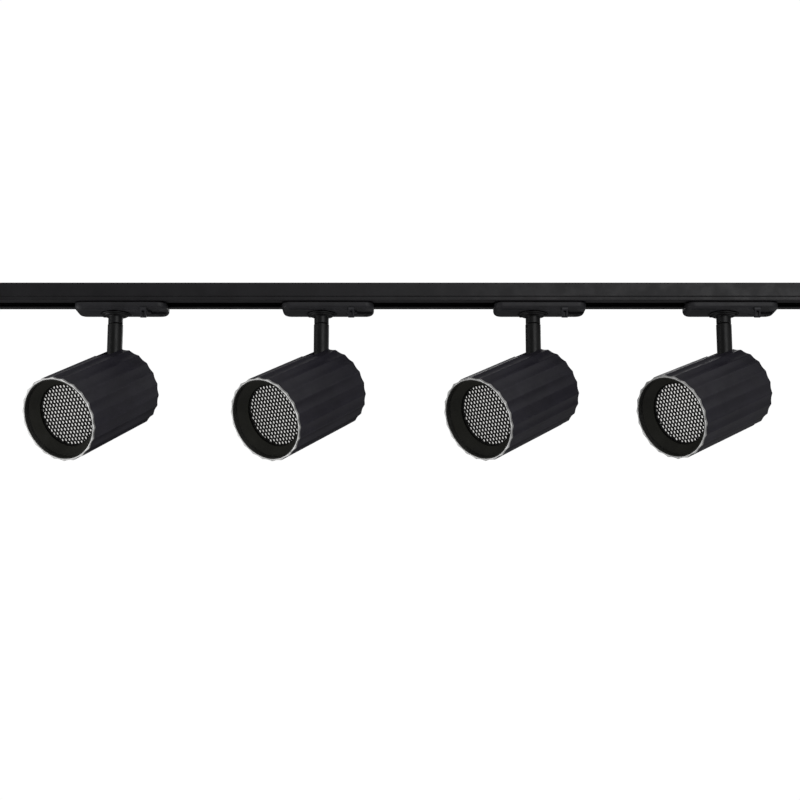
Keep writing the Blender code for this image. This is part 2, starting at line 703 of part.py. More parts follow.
def make_housing(number, axis, finish):
    """A fluted cup, closed at the rear, with two ears for the pin and a slot that the stem
    swings in, through its top and its rear."""
    chamfer_height = HEAD_REAR + HEAD_REAR_CHAMFER
    outlines = [
        (fluted_outline(ridge_radius(HEAD_REAR) - HEAD_REAR_CHAMFER), HEAD_REAR),
        (fluted_outline(ridge_radius(chamfer_height)), chamfer_height),
        (fluted_outline(ridge_radius(HOUSING_FRONT)), HOUSING_FRONT),
    ]
    name = f"head_housing_{number}"
    housing = node(name, loft(name, outlines), finish, axis, FORWARD)
    floor = HEAD_REAR + HEAD_REAR_WALL
    profile = [
        (0, floor),
        (HOUSING_BORE, floor),
        (HOUSING_BORE, SHOULDER),
        (RING_INNER, SHOULDER),
        (RING_INNER, HEAD_FRONT + CUT_MARGIN),
        (0, HEAD_FRONT + CUT_MARGIN),
    ]
    cut(housing, turned("housing_bore", profile, FINE))
    edge = STEM_SLOT_HALF
    ear_outer = edge + EAR_THICKNESS
    for sign in (-1, 1):
        sides = sorted((sign * edge, sign * ear_outer))
        low = (sides[0], -EAR_HALF_HEIGHT, floor - JOIN_OVERLAP)
        high = (sides[1], EAR_HALF_HEIGHT, EAR_REACH)
        join(housing, box("pivot_ear", low, high))
    outline = circle(0, 0, PIN_RADIUS + TOUCH_GAP, SMALL)
    cut(housing, bar("ear_hole", outline, -ear_outer - CUT_MARGIN, ear_outer + CUT_MARGIN))
    behind = HEAD_REAR - CUT_MARGIN
    top = HEAD_RADIUS + CUT_MARGIN
    side_slot = arc(0, 0, edge, 0, 180, SLOT_END_STEPS) + [(-edge, behind), (edge, behind)]
    cut(housing, prism("stem_side_slot", side_slot, 0, top), SWAP_Y_AND_Z)
    rear_slot = arc(0, 0, edge, 180, 360, SLOT_END_STEPS) + [(edge, top), (-edge, top)]
    cut(housing, prism("stem_rear_slot", rear_slot, behind, floor + TOUCH_GAP))


def make_ring(number, axis, finish):
    name = f"front_ring_{number}"
    rear = HEAD_FRONT - RING_THICKNESS
    mesh = prism(name, fluted_outline(HEAD_RADIUS), rear, HEAD_FRONT)
    ring = node(name, mesh, finish, axis, FORWARD)
    profile = [
        (0, rear - CUT_MARGIN),
        (RING_INNER, rear - CUT_MARGIN),
        (RING_INNER, HEAD_FRONT + CUT_MARGIN),
        (0, HEAD_FRONT + CUT_MARGIN),
    ]
    cut(ring, turned("ring_bore", profile, FINE))


def make_baffle(number, axis, finish):
    """A front lip, a cone, the seat of the louvre and a flange that rests on the shoulder."""
    front = HEAD_FRONT - TOUCH_GAP
    lip_end = front - BAFFLE_LIP
    seat = CONE_END - BAFFLE_REAR_LIP
    sleeve = LOUVRE_RADIUS + TOUCH_GAP
    flange_bottom = SHOULDER + TOUCH_GAP
    flange_top = flange_bottom + BAFFLE_FLANGE
    profile = [
        (BAFFLE_OUTER - BAFFLE_WALL, front),
        (BAFFLE_OUTER, front),
        (BAFFLE_OUTER, lip_end),
        (sleeve + SLEEVE_WALL, seat),
        (sleeve + SLEEVE_WALL, flange_top),
        (BAFFLE_OUTER, flange_top),
        (BAFFLE_OUTER, flange_bottom),
        (sleeve, flange_bottom),
        (sleeve, seat),
        (BAFFLE_OPENING_RADIUS, seat),
        (BAFFLE_OPENING_RADIUS, CONE_END),
        (BAFFLE_OUTER - BAFFLE_WALL, lip_end),
    ]
    name = f"baffle_{number}"
    node(name, turned(name, profile, MEDIUM), finish, axis, FORWARD)


def make_louvre(number, axis, finish):
    name = f"honeycomb_{number}"
    profile = [
        (0, LOUVRE_REAR),
        (LOUVRE_RADIUS, LOUVRE_REAR),
        (LOUVRE_RADIUS, LOUVRE_FRONT),
        (0, LOUVRE_FRONT),
    ]
    node(name, turned(name, profile, MEDIUM), finish, axis, FORWARD)


def make_lamp(number, axis, finish):
    """A reflector lamp, from its two pins to its flat lens, as one solid."""
    rim_end = LAMP_FRONT - LAMP_RIM_LENGTH
    neck_end = HOLDER_FRONT + TOUCH_GAP
    taper_end = neck_end + LAMP_NECK_LENGTH
    middle_radius = (LAMP_RADIUS + LAMP_NECK_RADIUS) / 2 + LAMP_BULGE
    profile = [
        (0, neck_end),
        (LAMP_NECK_RADIUS - LAMP_NECK_CHAMFER, neck_end),
        (LAMP_NECK_RADIUS, neck_end + LAMP_NECK_CHAMFER_HEIGHT),
        (LAMP_NECK_RADIUS, taper_end),
        (middle_radius, (rim_end + taper_end) / 2),
        (LAMP_RADIUS, rim_end),
        (LAMP_RADIUS, LAMP_FRONT),
        (0, LAMP_FRONT),
    ]
    name = f"lamp_{number}"
    lamp = node(name, turned(name, profile, COARSE), finish, axis, FORWARD)
    for sign in (-1, 1):
        outline = circle(sign * LAMP_PIN_PITCH / 2, 0, LAMP_PIN_RADIUS, COARSE // 2)
        low = neck_end - LAMP_PIN_LENGTH
        join(lamp, prism("lamp_pin", outline, low, neck_end + JOIN_OVERLAP))


def make_holder(number, axis, finish):
    profile = [
        (0, HOLDER_REAR),
        (HOLDER_RADIUS, HOLDER_REAR),
        (HOLDER_RADIUS, HOLDER_FRONT),
        (0, HOLDER_FRONT),
    ]
    name = f"lamp_holder_{number}"
    holder = node(name, turned(name, profile, SMALL), finish, axis, FORWARD)
    for sign in (-1, 1):
        outline = circle(sign * LAMP_PIN_PITCH / 2, 0, LAMP_PIN_RADIUS + TOUCH_GAP, COARSE // 2)
        low = HOLDER_FRONT - LAMP_PIN_LENGTH - TOUCH_GAP
        cut(holder, prism("pin_socket", outline, low, HOLDER_FRONT + CUT_MARGIN))


# --- the whole fixture


def make_spot(number, spot, finishes):
    slide = axis_empty(f"spot_{number}_slide", Matrix.Translation((spot["place"], 0, 0)))
    make_adapter(number, slide, finishes["moulding"])
    make_socket(number, slide, finishes["body"])
    lever = axis_empty(f"spot_{number}_lever", Matrix.Translation((LEVER_PLACE, 0, 0)), slide)
    make_lever(number, lever, finishes["moulding"])
    make_blade(f"contact_blade_front_{number}", -1, lever, finishes["copper"])
    make_blade(f"contact_blade_rear_{number}", 1, lever, finishes["copper"])
    turn = Matrix.Rotation(-math.radians(spot["pan"]), 4, "Z")
    pan = axis_empty(f"spot_{number}_pan", Matrix.Translation((0, 0, SEAM)) @ turn, slide)
    make_stem(number, pan, finishes["body"])
    dip = Matrix.Rotation(math.radians(spot["tilt"]), 4, "X")
    tilt = axis_empty(f"spot_{number}_tilt", Matrix.Translation((0, 0, -STEM_LENGTH)) @ dip, pan)
    make_pin(number, tilt, finishes["steel"])
    make_housing(number, tilt, finishes["body"])
    make_ring(number, tilt, finishes["bright"])
    make_baffle(number, tilt, finishes["baffle"])
    make_louvre(number, tilt, finishes["louvre"])
    make_lamp(number, tilt, finishes["lamp"])
    make_holder(number, tilt, finishes["ceramic"])


def make_finishes():
    return {
        "rail": material("rail_black", (0.022, 0.022, 0.024), 0.45, 0.2),
        "moulding": material("moulding_black", (0.018, 0.018, 0.019), 0.5),
        "body": material("body_black", (0.017, 0.016, 0.020), 0.45, 0.1),
        "baffle": material("baffle_black", (0.014, 0.014, 0.012), 0.7),
        "bright": material("bright_aluminium", (0.62, 0.62, 0.61), 0.3, 1.0),
        "louvre": material("louvre_black", (0.012, 0.012, 0.012), 0.5),
        "lamp": material("lamp_white", (0.80, 0.80, 0.78), 0.4),
        "ceramic": material("holder_ceramic", (0.70, 0.69, 0.66), 0.6),
        "copper": material("copper", (0.72, 0.40, 0.26), 0.3, 1.0),
        "steel": material("pin_steel", (0.45, 0.45, 0.46), 0.3, 1.0),
        "liner": material("liner_grey", (0.12, 0.12, 0.12), 0.6),
    }


def main():
    clear_scene()
    finishes = make_finishes()
    make_rail(finishes["rail"])
    for side, sign in (("front", -1), ("rear", 1)):
        make_liner(f"liner_{side}", sign, finishes["liner"])
        make_conductor(f"conductor_{side}", sign, finishes["copper"])
    make_end_cap(finishes["moulding"])
    make_feed(finishes["moulding"])
    for number, spot in enumerate(SPOTS, start=1):
        make_spot(number, spot, finishes)


main()
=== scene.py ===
import json
import math

import bmesh
import bpy
from bpy.props import FloatProperty, FloatVectorProperty, IntProperty, PointerProperty
from mathutils import Matrix, Vector

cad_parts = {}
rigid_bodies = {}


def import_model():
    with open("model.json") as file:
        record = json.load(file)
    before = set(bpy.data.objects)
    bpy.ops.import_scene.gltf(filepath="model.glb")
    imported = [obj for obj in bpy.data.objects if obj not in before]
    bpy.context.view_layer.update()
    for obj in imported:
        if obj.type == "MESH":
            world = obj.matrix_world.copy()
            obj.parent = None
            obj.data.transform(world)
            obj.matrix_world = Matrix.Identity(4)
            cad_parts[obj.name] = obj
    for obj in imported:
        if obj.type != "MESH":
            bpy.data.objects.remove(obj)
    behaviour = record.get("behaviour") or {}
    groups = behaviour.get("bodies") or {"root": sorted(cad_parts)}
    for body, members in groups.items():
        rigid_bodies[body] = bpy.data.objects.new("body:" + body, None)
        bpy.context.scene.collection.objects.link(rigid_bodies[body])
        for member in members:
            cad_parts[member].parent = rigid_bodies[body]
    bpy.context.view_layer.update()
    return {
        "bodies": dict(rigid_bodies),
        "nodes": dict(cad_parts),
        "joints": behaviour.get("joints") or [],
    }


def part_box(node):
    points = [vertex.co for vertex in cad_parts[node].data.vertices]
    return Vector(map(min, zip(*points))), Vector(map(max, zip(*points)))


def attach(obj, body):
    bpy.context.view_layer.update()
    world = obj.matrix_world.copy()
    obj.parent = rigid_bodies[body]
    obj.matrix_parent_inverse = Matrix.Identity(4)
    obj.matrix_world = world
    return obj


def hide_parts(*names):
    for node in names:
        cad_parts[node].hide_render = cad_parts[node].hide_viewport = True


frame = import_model()

bl_info = {
    "name": "Track lighting fixture",
    "version": (1, 0, 0),
    "blender": (4, 5, 0),
    "location": "View3D > Sidebar > Track light",
    "description": "Four fluted spotlights with honeycomb louvres on a surface-mounted track",
    "category": "Object",
}

# --- where the joints stand

JOINTS = {joint["name"]: joint for joint in frame["joints"]}
SPOTS = sorted(int(name.split("_")[1]) for name in frame["bodies"] if name.startswith("adapter_"))
UP = Vector((0.0, 0.0, 1.0))
Z_TO_X = Matrix(((0, 0, 1, 0), (1, 0, 0, 0), (0, 1, 0, 0), (0, 0, 0, 1)))
Z_TO_Y = Matrix(((1, 0, 0, 0), (0, 0, 1, 0), (0, -1, 0, 0), (0, 0, 0, 1)))
Y_AND_Z_SWAPPED = Matrix(((1, 0, 0, 0), (0, 0, 1, 0), (0, 1, 0, 0), (0, 0, 0, 1)))
TURNED_OVER = Matrix.Rotation(math.pi, 4, "X")


def axes(origin, across, top, forward):
    """A space with its X, Y and Z axes and its origin."""
    turn = Matrix((across, top, forward)).transposed()
    return Matrix.Translation(origin) @ turn.to_4x4()


def adapter_space(number):
    """Below the ceiling face, on the stem's axis, with X along the track."""
    place = Vector(JOINTS[f"stem_pan_{number}"]["pos_m"])
    return Matrix.Translation((place.x, place.y, 0.0))


def lever_space(number):
    """Below the ceiling face, on the lever's axis."""
    place = Vector(JOINTS[f"lever_turn_{number}"]["pos_m"])
    return Matrix.Translation((place.x, place.y, 0.0))


def stem_space(number):
    """At the stem's seam, turned as the head is."""
    across = Vector(JOINTS[f"head_tilt_{number}"]["axis"])
    return axes(JOINTS[f"stem_pan_{number}"]["pos_m"], across, UP.cross(across), UP)


def head_space(number):
    """At the tilt axis: X along the pin, Z towards the front of the head, Y out of its top."""
    joint = JOINTS[f"head_tilt_{number}"]
    across = Vector(joint["axis"])
    dip = -math.radians(joint["range_deg"][0])
    level = across.cross(UP)
    forward = level * math.cos(dip) - UP * math.sin(dip)
    return axes(joint["pos_m"], across, forward.cross(across), forward)


# --- sizes read from the frame, on the first spot


def points_of(node, space):
    inverse = space.inverted()
    return [inverse @ vertex.co for vertex in frame["nodes"][node].data.vertices]


def span(node, space, axis):
    """Lowest and highest place of a node along an axis of a space."""
    places = [point[axis] for point in points_of(node, space)]
    return min(places), max(places)


def radii(node, space):
    """Least and greatest distance of a node's points from the Z axis of a space."""
    distances = [math.hypot(point.x, point.y) for point in points_of(node, space)]
    return min(distances), max(distances)


FIRST = SPOTS[0]
HEAD = head_space(FIRST)
STEM = stem_space(FIRST)
ADAPTER = adapter_space(FIRST)
LEVER = lever_space(FIRST)
RAIL_LOW, RAIL_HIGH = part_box("track_rail")
CAP_LOW, CAP_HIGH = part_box("end_cap")
FEED_LOW, FEED_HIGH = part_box("feed_housing")
COVER_LOW, COVER_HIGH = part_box("feed_cover")
HOUSING_REAR, HOUSING_FRONT = span(f"head_housing_{FIRST}", HEAD, 2)
RING_REAR, RING_FRONT = span(f"front_ring_{FIRST}", HEAD, 2)
RING_INNER, RING_OUTER = radii(f"front_ring_{FIRST}", HEAD)
BAFFLE_REAR, BAFFLE_FRONT = span(f"baffle_{FIRST}", HEAD, 2)
BAFFLE_OPENING, BAFFLE_OUTER = radii(f"baffle_{FIRST}", HEAD)
LOUVRE_REAR, LOUVRE_FRONT = span(f"honeycomb_{FIRST}", HEAD, 2)
LOUVRE_RADIUS = radii(f"honeycomb_{FIRST}", HEAD)[1]
LAMP_REAR, LAMP_FRONT = span(f"lamp_{FIRST}", HEAD, 2)
LAMP_RADIUS = radii(f"lamp_{FIRST}", HEAD)[1]
HOLDER_REAR, HOLDER_FRONT = span(f"lamp_holder_{FIRST}", HEAD, 2)
HOLDER_RADIUS = radii(f"lamp_holder_{FIRST}", HEAD)[1]
PIN_REACH = span(f"tilt_pin_{FIRST}", HEAD, 0)[1]
PIN_RADIUS = span(f"tilt_pin_{FIRST}", HEAD, 1)[1]
STEM_BOTTOM = span(f"stem_tube_{FIRST}", STEM, 2)[0]
STEM_RADIUS = radii(f"stem_tube_{FIRST}", STEM)[1]
SOCKET_BOTTOM, SOCKET_TOP = span(f"stem_socket_{FIRST}", ADAPTER, 2)
WIRE_HOLE, FLANGE_RADIUS = radii(f"stem_socket_{FIRST}", ADAPTER)
ADAPTER_BOTTOM, NECK_TOP = span(f"adapter_body_{FIRST}", ADAPTER, 2)
ADAPTER_LEFT, ADAPTER_RIGHT = span(f"adapter_body_{FIRST}", ADAPTER, 0)
ADAPTER_HALF = span(f"adapter_body_{FIRST}", ADAPTER, 1)[1]
LEVER_PLACE = LEVER.translation.x - ADAPTER.translation.x
LEVER_BOTTOM, HUB_TOP = span(f"lock_lever_{FIRST}", LEVER, 2)
LEVER_REACH = -span(f"lock_lever_{FIRST}", LEVER, 1)[0]

# clearances, how finely round shapes are divided, and how far a cutter stands out or a joined
# piece goes in
TOUCH_GAP = 0.0003
SWING_GAP = 0.0006
ARC_STEP = math.radians(15)
SHARP = math.radians(32)
LARGE_ROUND = 128
ROUND = 96
SMALL_ROUND = 48
TINY_ROUND = 32
PIN_ROUND = 24
BEYOND = 0.004
OVERLAP = 0.001
SCREW_SUNK = 0.0001


# --- what a user may change


def measure(label, about, value, unit):
    return FloatProperty(name=label, description=about, default=value, unit=unit)


def length(label, about, value):
    return FloatProperty(name=label, description=about, default=value, min=0.0, precision=5, unit="LENGTH")


def share(label, about, value):
    return FloatProperty(name=label, description=about, default=value, min=0.0, max=1.0, subtype="FACTOR")


def colour(label, about, value):
    limits = {"min": 0.0, "max": 1.0}
    return FloatVectorProperty(name=label, description=about, default=value, subtype="COLOR", **limits)


class RailSizes(bpy.types.PropertyGroup):
    wall: length("Wall", "Thickness of the rail's top and sides", 0.0016)
    lip: length("Lip", "Thickness of the two lips beside the slot", 0.0014)
    slot: length("Slot", "Width of the slot that the adapters run in", 0.018)
    fillet: length("Edge radius", "Radius of the rail's four long outer edges", 0.0009)
    lip_fillet: length("Lip radius", "Radius of the lips' inner edges", 0.00035)
    groove_from_bottom: length("Groove height", "From the rail's bottom to its side groove", 0.0035)
    groove_height: length("Groove width", "Height of the side groove at the surface", 0.0009)
    groove_depth: length("Groove depth", "Depth of the side groove", 0.0005)
    rib: length("Rib", "Thickness of the ribs that hold the liners", 0.0012)
    rib_reach: length("Rib reach", "How far the ribs stand out of the side walls", 0.0034)
    rib_above_lip: length("Rib above lip", "Gap between a lip and the rib over it", 0.0015)
    rib_below_roof: length("Rib below roof", "Gap between the roof and the rib under it", 0.0005)
    hole: length("Fixing hole", "Radius of the fixing holes", 0.00225)
    hole_pitch: length("Hole pitch", "Distance between fixing holes", 0.300)
    hole_count: IntProperty(name="Holes", description="Fixing holes in the rail", default=4, min=0)


class AdapterSizes(bpy.types.PropertyGroup):
    thickness: length("Thickness", "Height of the slab below the rail", 0.0078)
    corner: length("Corner", "Radius of the corners seen from below", 0.008)
    top_fillet: length("Top edge", "Radius of the upper edge", 0.0015)
    bottom_fillet: length("Bottom edge", "Radius of the lower edge", 0.0042)
    neck_half: length("Neck", "Half of the width of the neck in the slot", 0.0086)
    neck_wall: length("Neck wall", "Wall of the hollow neck", 0.0016)
    neck_inset: length("Neck inset", "From the slab's ends to the neck's", 0.002)
    floor: length("Floor", "Thickness of the floor under the hollow", 0.0024)
    blade_room: length("Blade room", "Radius kept free for the contact blades", 0.0136)
    shaft: length("Shaft", "Radius of the lever's shaft", 0.005)
    hub: length("Hub", "Radius of the lever's hub", 0.007)
    arm_width: length("Arm width", "Width of the lever's arm", 0.0054)
    arm_thickness: length("Arm thickness", "Thickness of the lever's arm", 0.0017)
    tab_root: length("Tab root", "Thickness of the thumb tab at the arm", 0.004)
    tab_tip: length("Tab tip", "Thickness of the thumb tab at its tip", 0.0024)
    tab_lean: length("Tab lean", "How far the tab's tip lies behind its top", 0.0024)
    dish: length("Dish", "Depth of the round dish that the flange sits in", 0.0008)


class StemSizes(bpy.types.PropertyGroup):
    flange: length("Flange", "Thickness of the flange", 0.0010)
    collar_radius: length("Collar radius", "Radius of the collar under the flange", 0.011)
    collar: length("Collar", "Thickness of the collar", 0.0013)
    stub_step: length("Stub step", "How much smaller the fixed stub's radius is", 0.0003)
    stub: length("Stub", "Length of the fixed stub", 0.0070)
    spigot_radius: length("Spigot radius", "Radius of the spigot that the stem turns on", 0.0045)
    nipple_radius: length("Nipple radius", "Radius of the threaded nipple", 0.0037)
    lug_turn: measure("Lug turn", "Turn of the lugs about the stem", -0.35, "ROTATION")
    seam_chamfer: length("Seam chamfer", "Chamfer on both edges of the seam", 0.0005)


class HeadSizes(bpy.types.PropertyGroup):
    flutes: IntProperty(name="Flutes", description="Flutes round the head", default=22, min=3)
    flute_points: IntProperty(name="Flute points", description="Points across one flute", default=16, min=4)
    flute_depth: length("Flute depth", "Depth of the flutes", 0.0010)
    ridge_softness: share("Ridge softness", "How round the ridges between flutes are", 0.10)
    draft: length("Draft", "How much smaller the radius is at the rear", 0.0009)
    rear_fillet: length("Rear edge", "Radius of the rear edge", 0.0012)
    rear_wall: length("Rear wall", "Thickness of the rear wall", 0.0024)
    rear_dish_radius: length("Rear dish", "Radius of the shallow dish in the rear face", 0.0295)
    rear_dish: length("Rear dish depth", "Depth of that dish", 0.0005)
    shoulder_step: length("Shoulder", "Width of the shoulder that the baffle rests on", 0.0024)
    ear: length("Ear", "Thickness of the two ears that hold the pin", 0.004)
    ear_half_height: length("Ear height", "Half of the height of an ear", 0.0055)
    ear_reach: length("Ear reach", "From the tilt axis forward to the ears' ends", 0.0055)
    ring_chamfer: length("Ring chamfer", "Chamfer round the bright ring", 0.00035)


class OpticSizes(bpy.types.PropertyGroup):
    lip: length("Lip", "Depth of the baffle's straight front lip", 0.0048)
    lip_wall: length("Lip wall", "Wall of that lip", 0.0006)
    cone_depth: length("Cone depth", "From the head's front to the small end of the cone", 0.0121)
    rear_lip: length("Rear lip", "Thickness of the edge that holds the louvre", 0.0006)
    sleeve_wall: length("Sleeve wall", "Wall of the sleeve round the louvre", 0.0013)
    flange: length("Flange", "Thickness of the flange on the shoulder", 0.0012)
    cell_pitch: length("Cell pitch", "Distance between neighbouring cells", 0.0037)
    cell_wall: length("Cell wall", "Thickness of the walls between cells", 0.00062)
    cell_depth: length("Cell depth", "Depth of the cells", 0.0027)
    frame_width: length("Frame width", "Width of the louvre's round frame", 0.0018)
    diffuser: length("Diffuser", "Thickness of the frosted disc behind the cells", 0.0012)


class LampSizes(bpy.types.PropertyGroup):
    rim: length("Rim", "Length of the lamp's straight rim", 0.005)
    bulge: length("Bulge", "How far the reflector bows out of a straight taper", 0.002)
    neck_radius: length("Neck radius", "Radius of the neck", 0.0145)
    neck: length("Neck", "Length of the neck", 0.0116)
    pin_radius: length("Pin radius", "Radius of the two contact pins", 0.0018)
    pin_pitch: length("Pin pitch", "Distance between the two contact pins", 0.010)


class Finishes(bpy.types.PropertyGroup):
    rail: colour("Rail", "Satin black coat of the rail", (0.0290, 0.0279, 0.0318))
    head: colour("Head", "Satin black paint of the heads", (0.0262, 0.0240, 0.0370))
    stem: colour("Stem", "Satin black paint of the stems", (0.0120, 0.0120, 0.0122))
    socket: colour("Socket", "Satin black paint of the stems' sockets", (0.0200, 0.0200, 0.0210))
    moulding: colour("Mouldings", "Matt black plastic of the adapters", (0.0480, 0.0473, 0.0535))
    baffle: colour("Baffle", "Anti-glare black of the baffle", (0.0340, 0.0340, 0.0265))
    lip: colour("Baffle lip", "Smooth black of the baffle's front lip", (0.0420, 0.0420, 0.0390))
    louvre: colour("Louvre", "Black of the honeycomb", (0.0060, 0.0060, 0.0058))
    bright: colour("Ring", "Bare aluminium of the front ring", (0.72, 0.72, 0.71))
    frosted: colour("Diffuser", "Frosted disc behind the honeycomb", (0.80, 0.80, 0.78))
    # the disc's glow is painted light; the lamp behind it gives none
    glow: share("Glow", "Light that the frosted disc gives off", 1.0)
    lamp: colour("Lamp", "White body of the lamp", (0.75, 0.75, 0.73))
    ceramic: colour("Holder", "Unglazed ceramic of the lamp holder", (0.66, 0.64, 0.60))
    copper: colour("Copper", "Contact strips and blades", (0.72, 0.36, 0.22))
    steel: colour("Steel", "Pins and screws", (0.48, 0.48, 0.49))
    liner: colour("Liner", "Insulating strips in the rail", (0.020, 0.020, 0.021))


class StageSettings(bpy.types.PropertyGroup):
    floor_height: measure("Floor", "Height of the floor", -1.30, "LENGTH")
    floor_reach: length("Floor reach", "Radius of the floor", 12.0)
    floor_fade: length("Floor fade", "Radius where the floor starts to fade into the backdrop", 2.5)
    floor_glow: share("Floor glow", "How much of the floor's middle is lit from within", 0.74)
    above: share("Light from above", "Even light from above the horizon", 0.26)
    below: share("Light from below", "Light that the floor sends up", 0.26)
    right: share("Light from the right", "Light of a dim wall at the right", 0.16)
    side: measure("Side light", "Power of the soft box at the left", 8.4, "POWER")
    front: measure("Front light", "Power of the soft box over the camera", 8.5, "POWER")
    back: measure("Back light", "Power of the soft box behind", 9.0, "POWER")
    lens: measure("Lens", "Focal length", 74.2, "CAMERA")
    distance: length("Distance", "From the camera to the middle of the fixture", 1.5)
    pitch: measure("Pitch", "How far the camera looks up", math.radians(10.35), "ROTATION")
    aim_height: measure("Aim", "Height that the camera aims at", -0.1057, "LENGTH")


SETTINGS = {
    "track_rail": RailSizes,
    "track_adapter": AdapterSizes,
    "track_stem": StemSizes,
    "track_head": HeadSizes,
    "track_optic": OpticSizes,
    "track_lamp": LampSizes,
    "track_finish": Finishes,
    "track_stage": StageSettings,
}


# --- outlines


def turn_between(before, here, after):
    """The arc that rounds a corner off: its centre, its start from there, and its sweep."""
    spot = Vector(here[:2])
    back = (Vector(before[:2]) - spot).normalized()
    ahead = (Vector(after[:2]) - spot).normalized()
    half = back.angle(ahead) / 2
    centre = spot + (back + ahead).normalized() * here[2] / math.sin(half)
    start = spot + back * here[2] / math.tan(half) - centre
    sweep = math.copysign(math.pi - 2 * half, ahead.cross(back))
    return centre, start, sweep


def rounded(corners, closed=True):
    """An outline through (x, y, radius) corners, each rounded off with its radius."""
    outline = []
    for place, here in enumerate(corners):
        if here[2] == 0 or not closed and place in (0, len(corners) - 1):
            outline.append(here[:2])
            continue
        after = corners[(place + 1) % len(corners)]
        centre, start, sweep = turn_between(corners[place - 1], here, after)
        steps = max(2, math.ceil(abs(sweep) / ARC_STEP))
        for step in range(steps + 1):
            point = centre + Matrix.Rotation(sweep * step / steps, 2) @ start
            outline.append((point.x, point.y))
    return outline


def rectangle(low_x, high_x, low_y, high_y, radius=0.0):
    corners = ((low_x, low_y), (high_x, low_y), (high_x, high_y), (low_x, high_y))
    return rounded([(x, y, radius) for x, y in corners])


def circle(radius, count=SMALL_ROUND, centre=(0.0, 0.0)):
    turns = [2 * math.pi * step / count for step in range(count)]
    return [(centre[0] + radius * math.cos(turn), centre[1] + radius * math.sin(turn)) for turn in turns]


def arc(radius, start, end, centre=(0.0, 0.0)):
    """Points along an arc, in degrees, with both ends."""
    steps = max(2, math.ceil(math.radians(abs(end - start)) / ARC_STEP))
    turns = [math.radians(start + (end - start) * step / steps) for step in range(steps + 1)]
    return [(centre[0] + radius * math.cos(turn), centre[1] + radius * math.sin(turn)) for turn in turns]


def fluted(over_ridges, sizes, inset=0.0):
    """Concave flutes that meet in slightly rounded ridges."""
    soft = sizes.ridge_softness
    count = sizes.flutes * sizes.flute_points
    outline = []
    for step in range(count):
        across = abs(math.sin(math.pi * step / sizes.flute_points))
        fall = (math.hypot(across, soft) - soft) / (math.hypot(1, soft) - soft)
        radius = over_ridges - inset - sizes.flute_depth * fall
        turn = 2 * math.pi * step / count
        outline.append((radius * math.cos(turn), radius * math.sin(turn)))
    return outline


# --- meshes


def skin(name, rings, wrap=False):
    """A mesh through rings of points. A ring of one point closes an end, a larger one at an end
    is filled, and wrap joins the last ring to the first."""
    vertices = []
    places = []
    for ring in rings:
        places.append(range(len(vertices), len(vertices) + len(ring)))
        vertices += ring
    pairs = list(zip(places, places[1:]))
    if wrap:
        pairs.append((places[-1], places[0]))
    faces = [] if wrap else [tuple(ends) for ends in (places[0], places[-1]) if len(ends) > 1]
    for one, other in pairs:
        for step in range(max(len(one), len(other))):
            corners = []
            for ring, place in ((one, step), (one, step + 1), (other, step + 1), (other, step)):
                corner = ring[place % len(ring)]
                if corner not in corners:
                    corners.append(corner)
            faces.append(corners)
    mesh = bpy.data.meshes.new(name)
    mesh.from_pydata(vertices, [], faces)
    return outward(mesh)


def outward(mesh):
    """The mesh with all its faces pointing out."""
    shape = bmesh.new()
    shape.from_mesh(mesh)
    bmesh.ops.remove_doubles(shape, verts=shape.verts[:], dist=1e-7)
    bmesh.ops.recalc_face_normals(shape, faces=shape.faces[:])
    shape.to_mesh(mesh)
    shape.free()
    return mesh


def at_height(outline, height):
    return [(x, y, height) for x, y in outline]


def prism(name, outline, low, high, space=None):
    """An outline in X and Y, from one height to another."""
    mesh = skin(name, [at_height(outline, low), at_height(outline, high)])
    if space:
        mesh.transform(space)
    return mesh


def soft_prism(name, outline_of, low, high, radius):
    """A prism whose upper and lower edges are rounded. outline_of gives the outline at an inset."""
    rings = []
    for inset, height in arc_insets(radius, radius):
        rings.append(at_height(outline_of(inset), low + height))
    for inset, height in reversed(arc_insets(radius, radius)):
        rings.append(at_height(outline_of(inset), high - height))
    return skin(name, rings)


def arc_insets(radius, height, steps=4):
    """(inset, height) pairs up a quarter round edge, from the face to the side."""
    turns = [math.pi / 2 * step / steps for step in range(steps + 1)]
    return [(radius * (1 - math.sin(turn)), height * (1 - math.cos(turn))) for turn in turns]


def box(name, low, high):
    return prism(name, rectangle(low[0], high[0], low[1], high[1]), low[2], high[2])


def turned(name, corners, count=ROUND):
    """A solid turned about Z through (radius, height, rounding) corners. One that starts and
    ends on the axis is closed by it, and any other is a closed ring."""
    on_axis = corners[0][0] == 0
    profile = rounded(corners, closed=not on_axis)
    rings = []
    for radius, height in profile:
        rings.append([(0.0, 0.0, height)] if radius < 1e-9 else at_height(circle(radius, count), height))
    return skin(name, rings, wrap=not on_axis)


def carve(mesh, *steps):
    """The mesh after its cuts and joins, given as (operation, tool mesh) pairs."""
    base = bpy.data.objects.new("carved", mesh)
    helpers = [base]
    bpy.context.scene.collection.objects.link(base)
    for operation, tool_mesh in steps:
        tool = bpy.data.objects.new("tool", tool_mesh)
        bpy.context.scene.collection.objects.link(tool)
        helpers.append(tool)
        step = base.modifiers.new(operation, "BOOLEAN")
        step.operation = operation
        step.object = tool
    seen = base.evaluated_get(bpy.context.evaluated_depsgraph_get())
    result = bpy.data.meshes.new_from_object(seen)
    for helper in helpers:
        spent = helper.data
        bpy.data.objects.remove(helper)
        bpy.data.meshes.remove(spent)
    return result


def cut(mesh, *tools):
    return carve(mesh, *[("DIFFERENCE", tool) for tool in tools])


def join(mesh, *tools):
    return carve(mesh, *[("UNION", tool) for tool in tools])


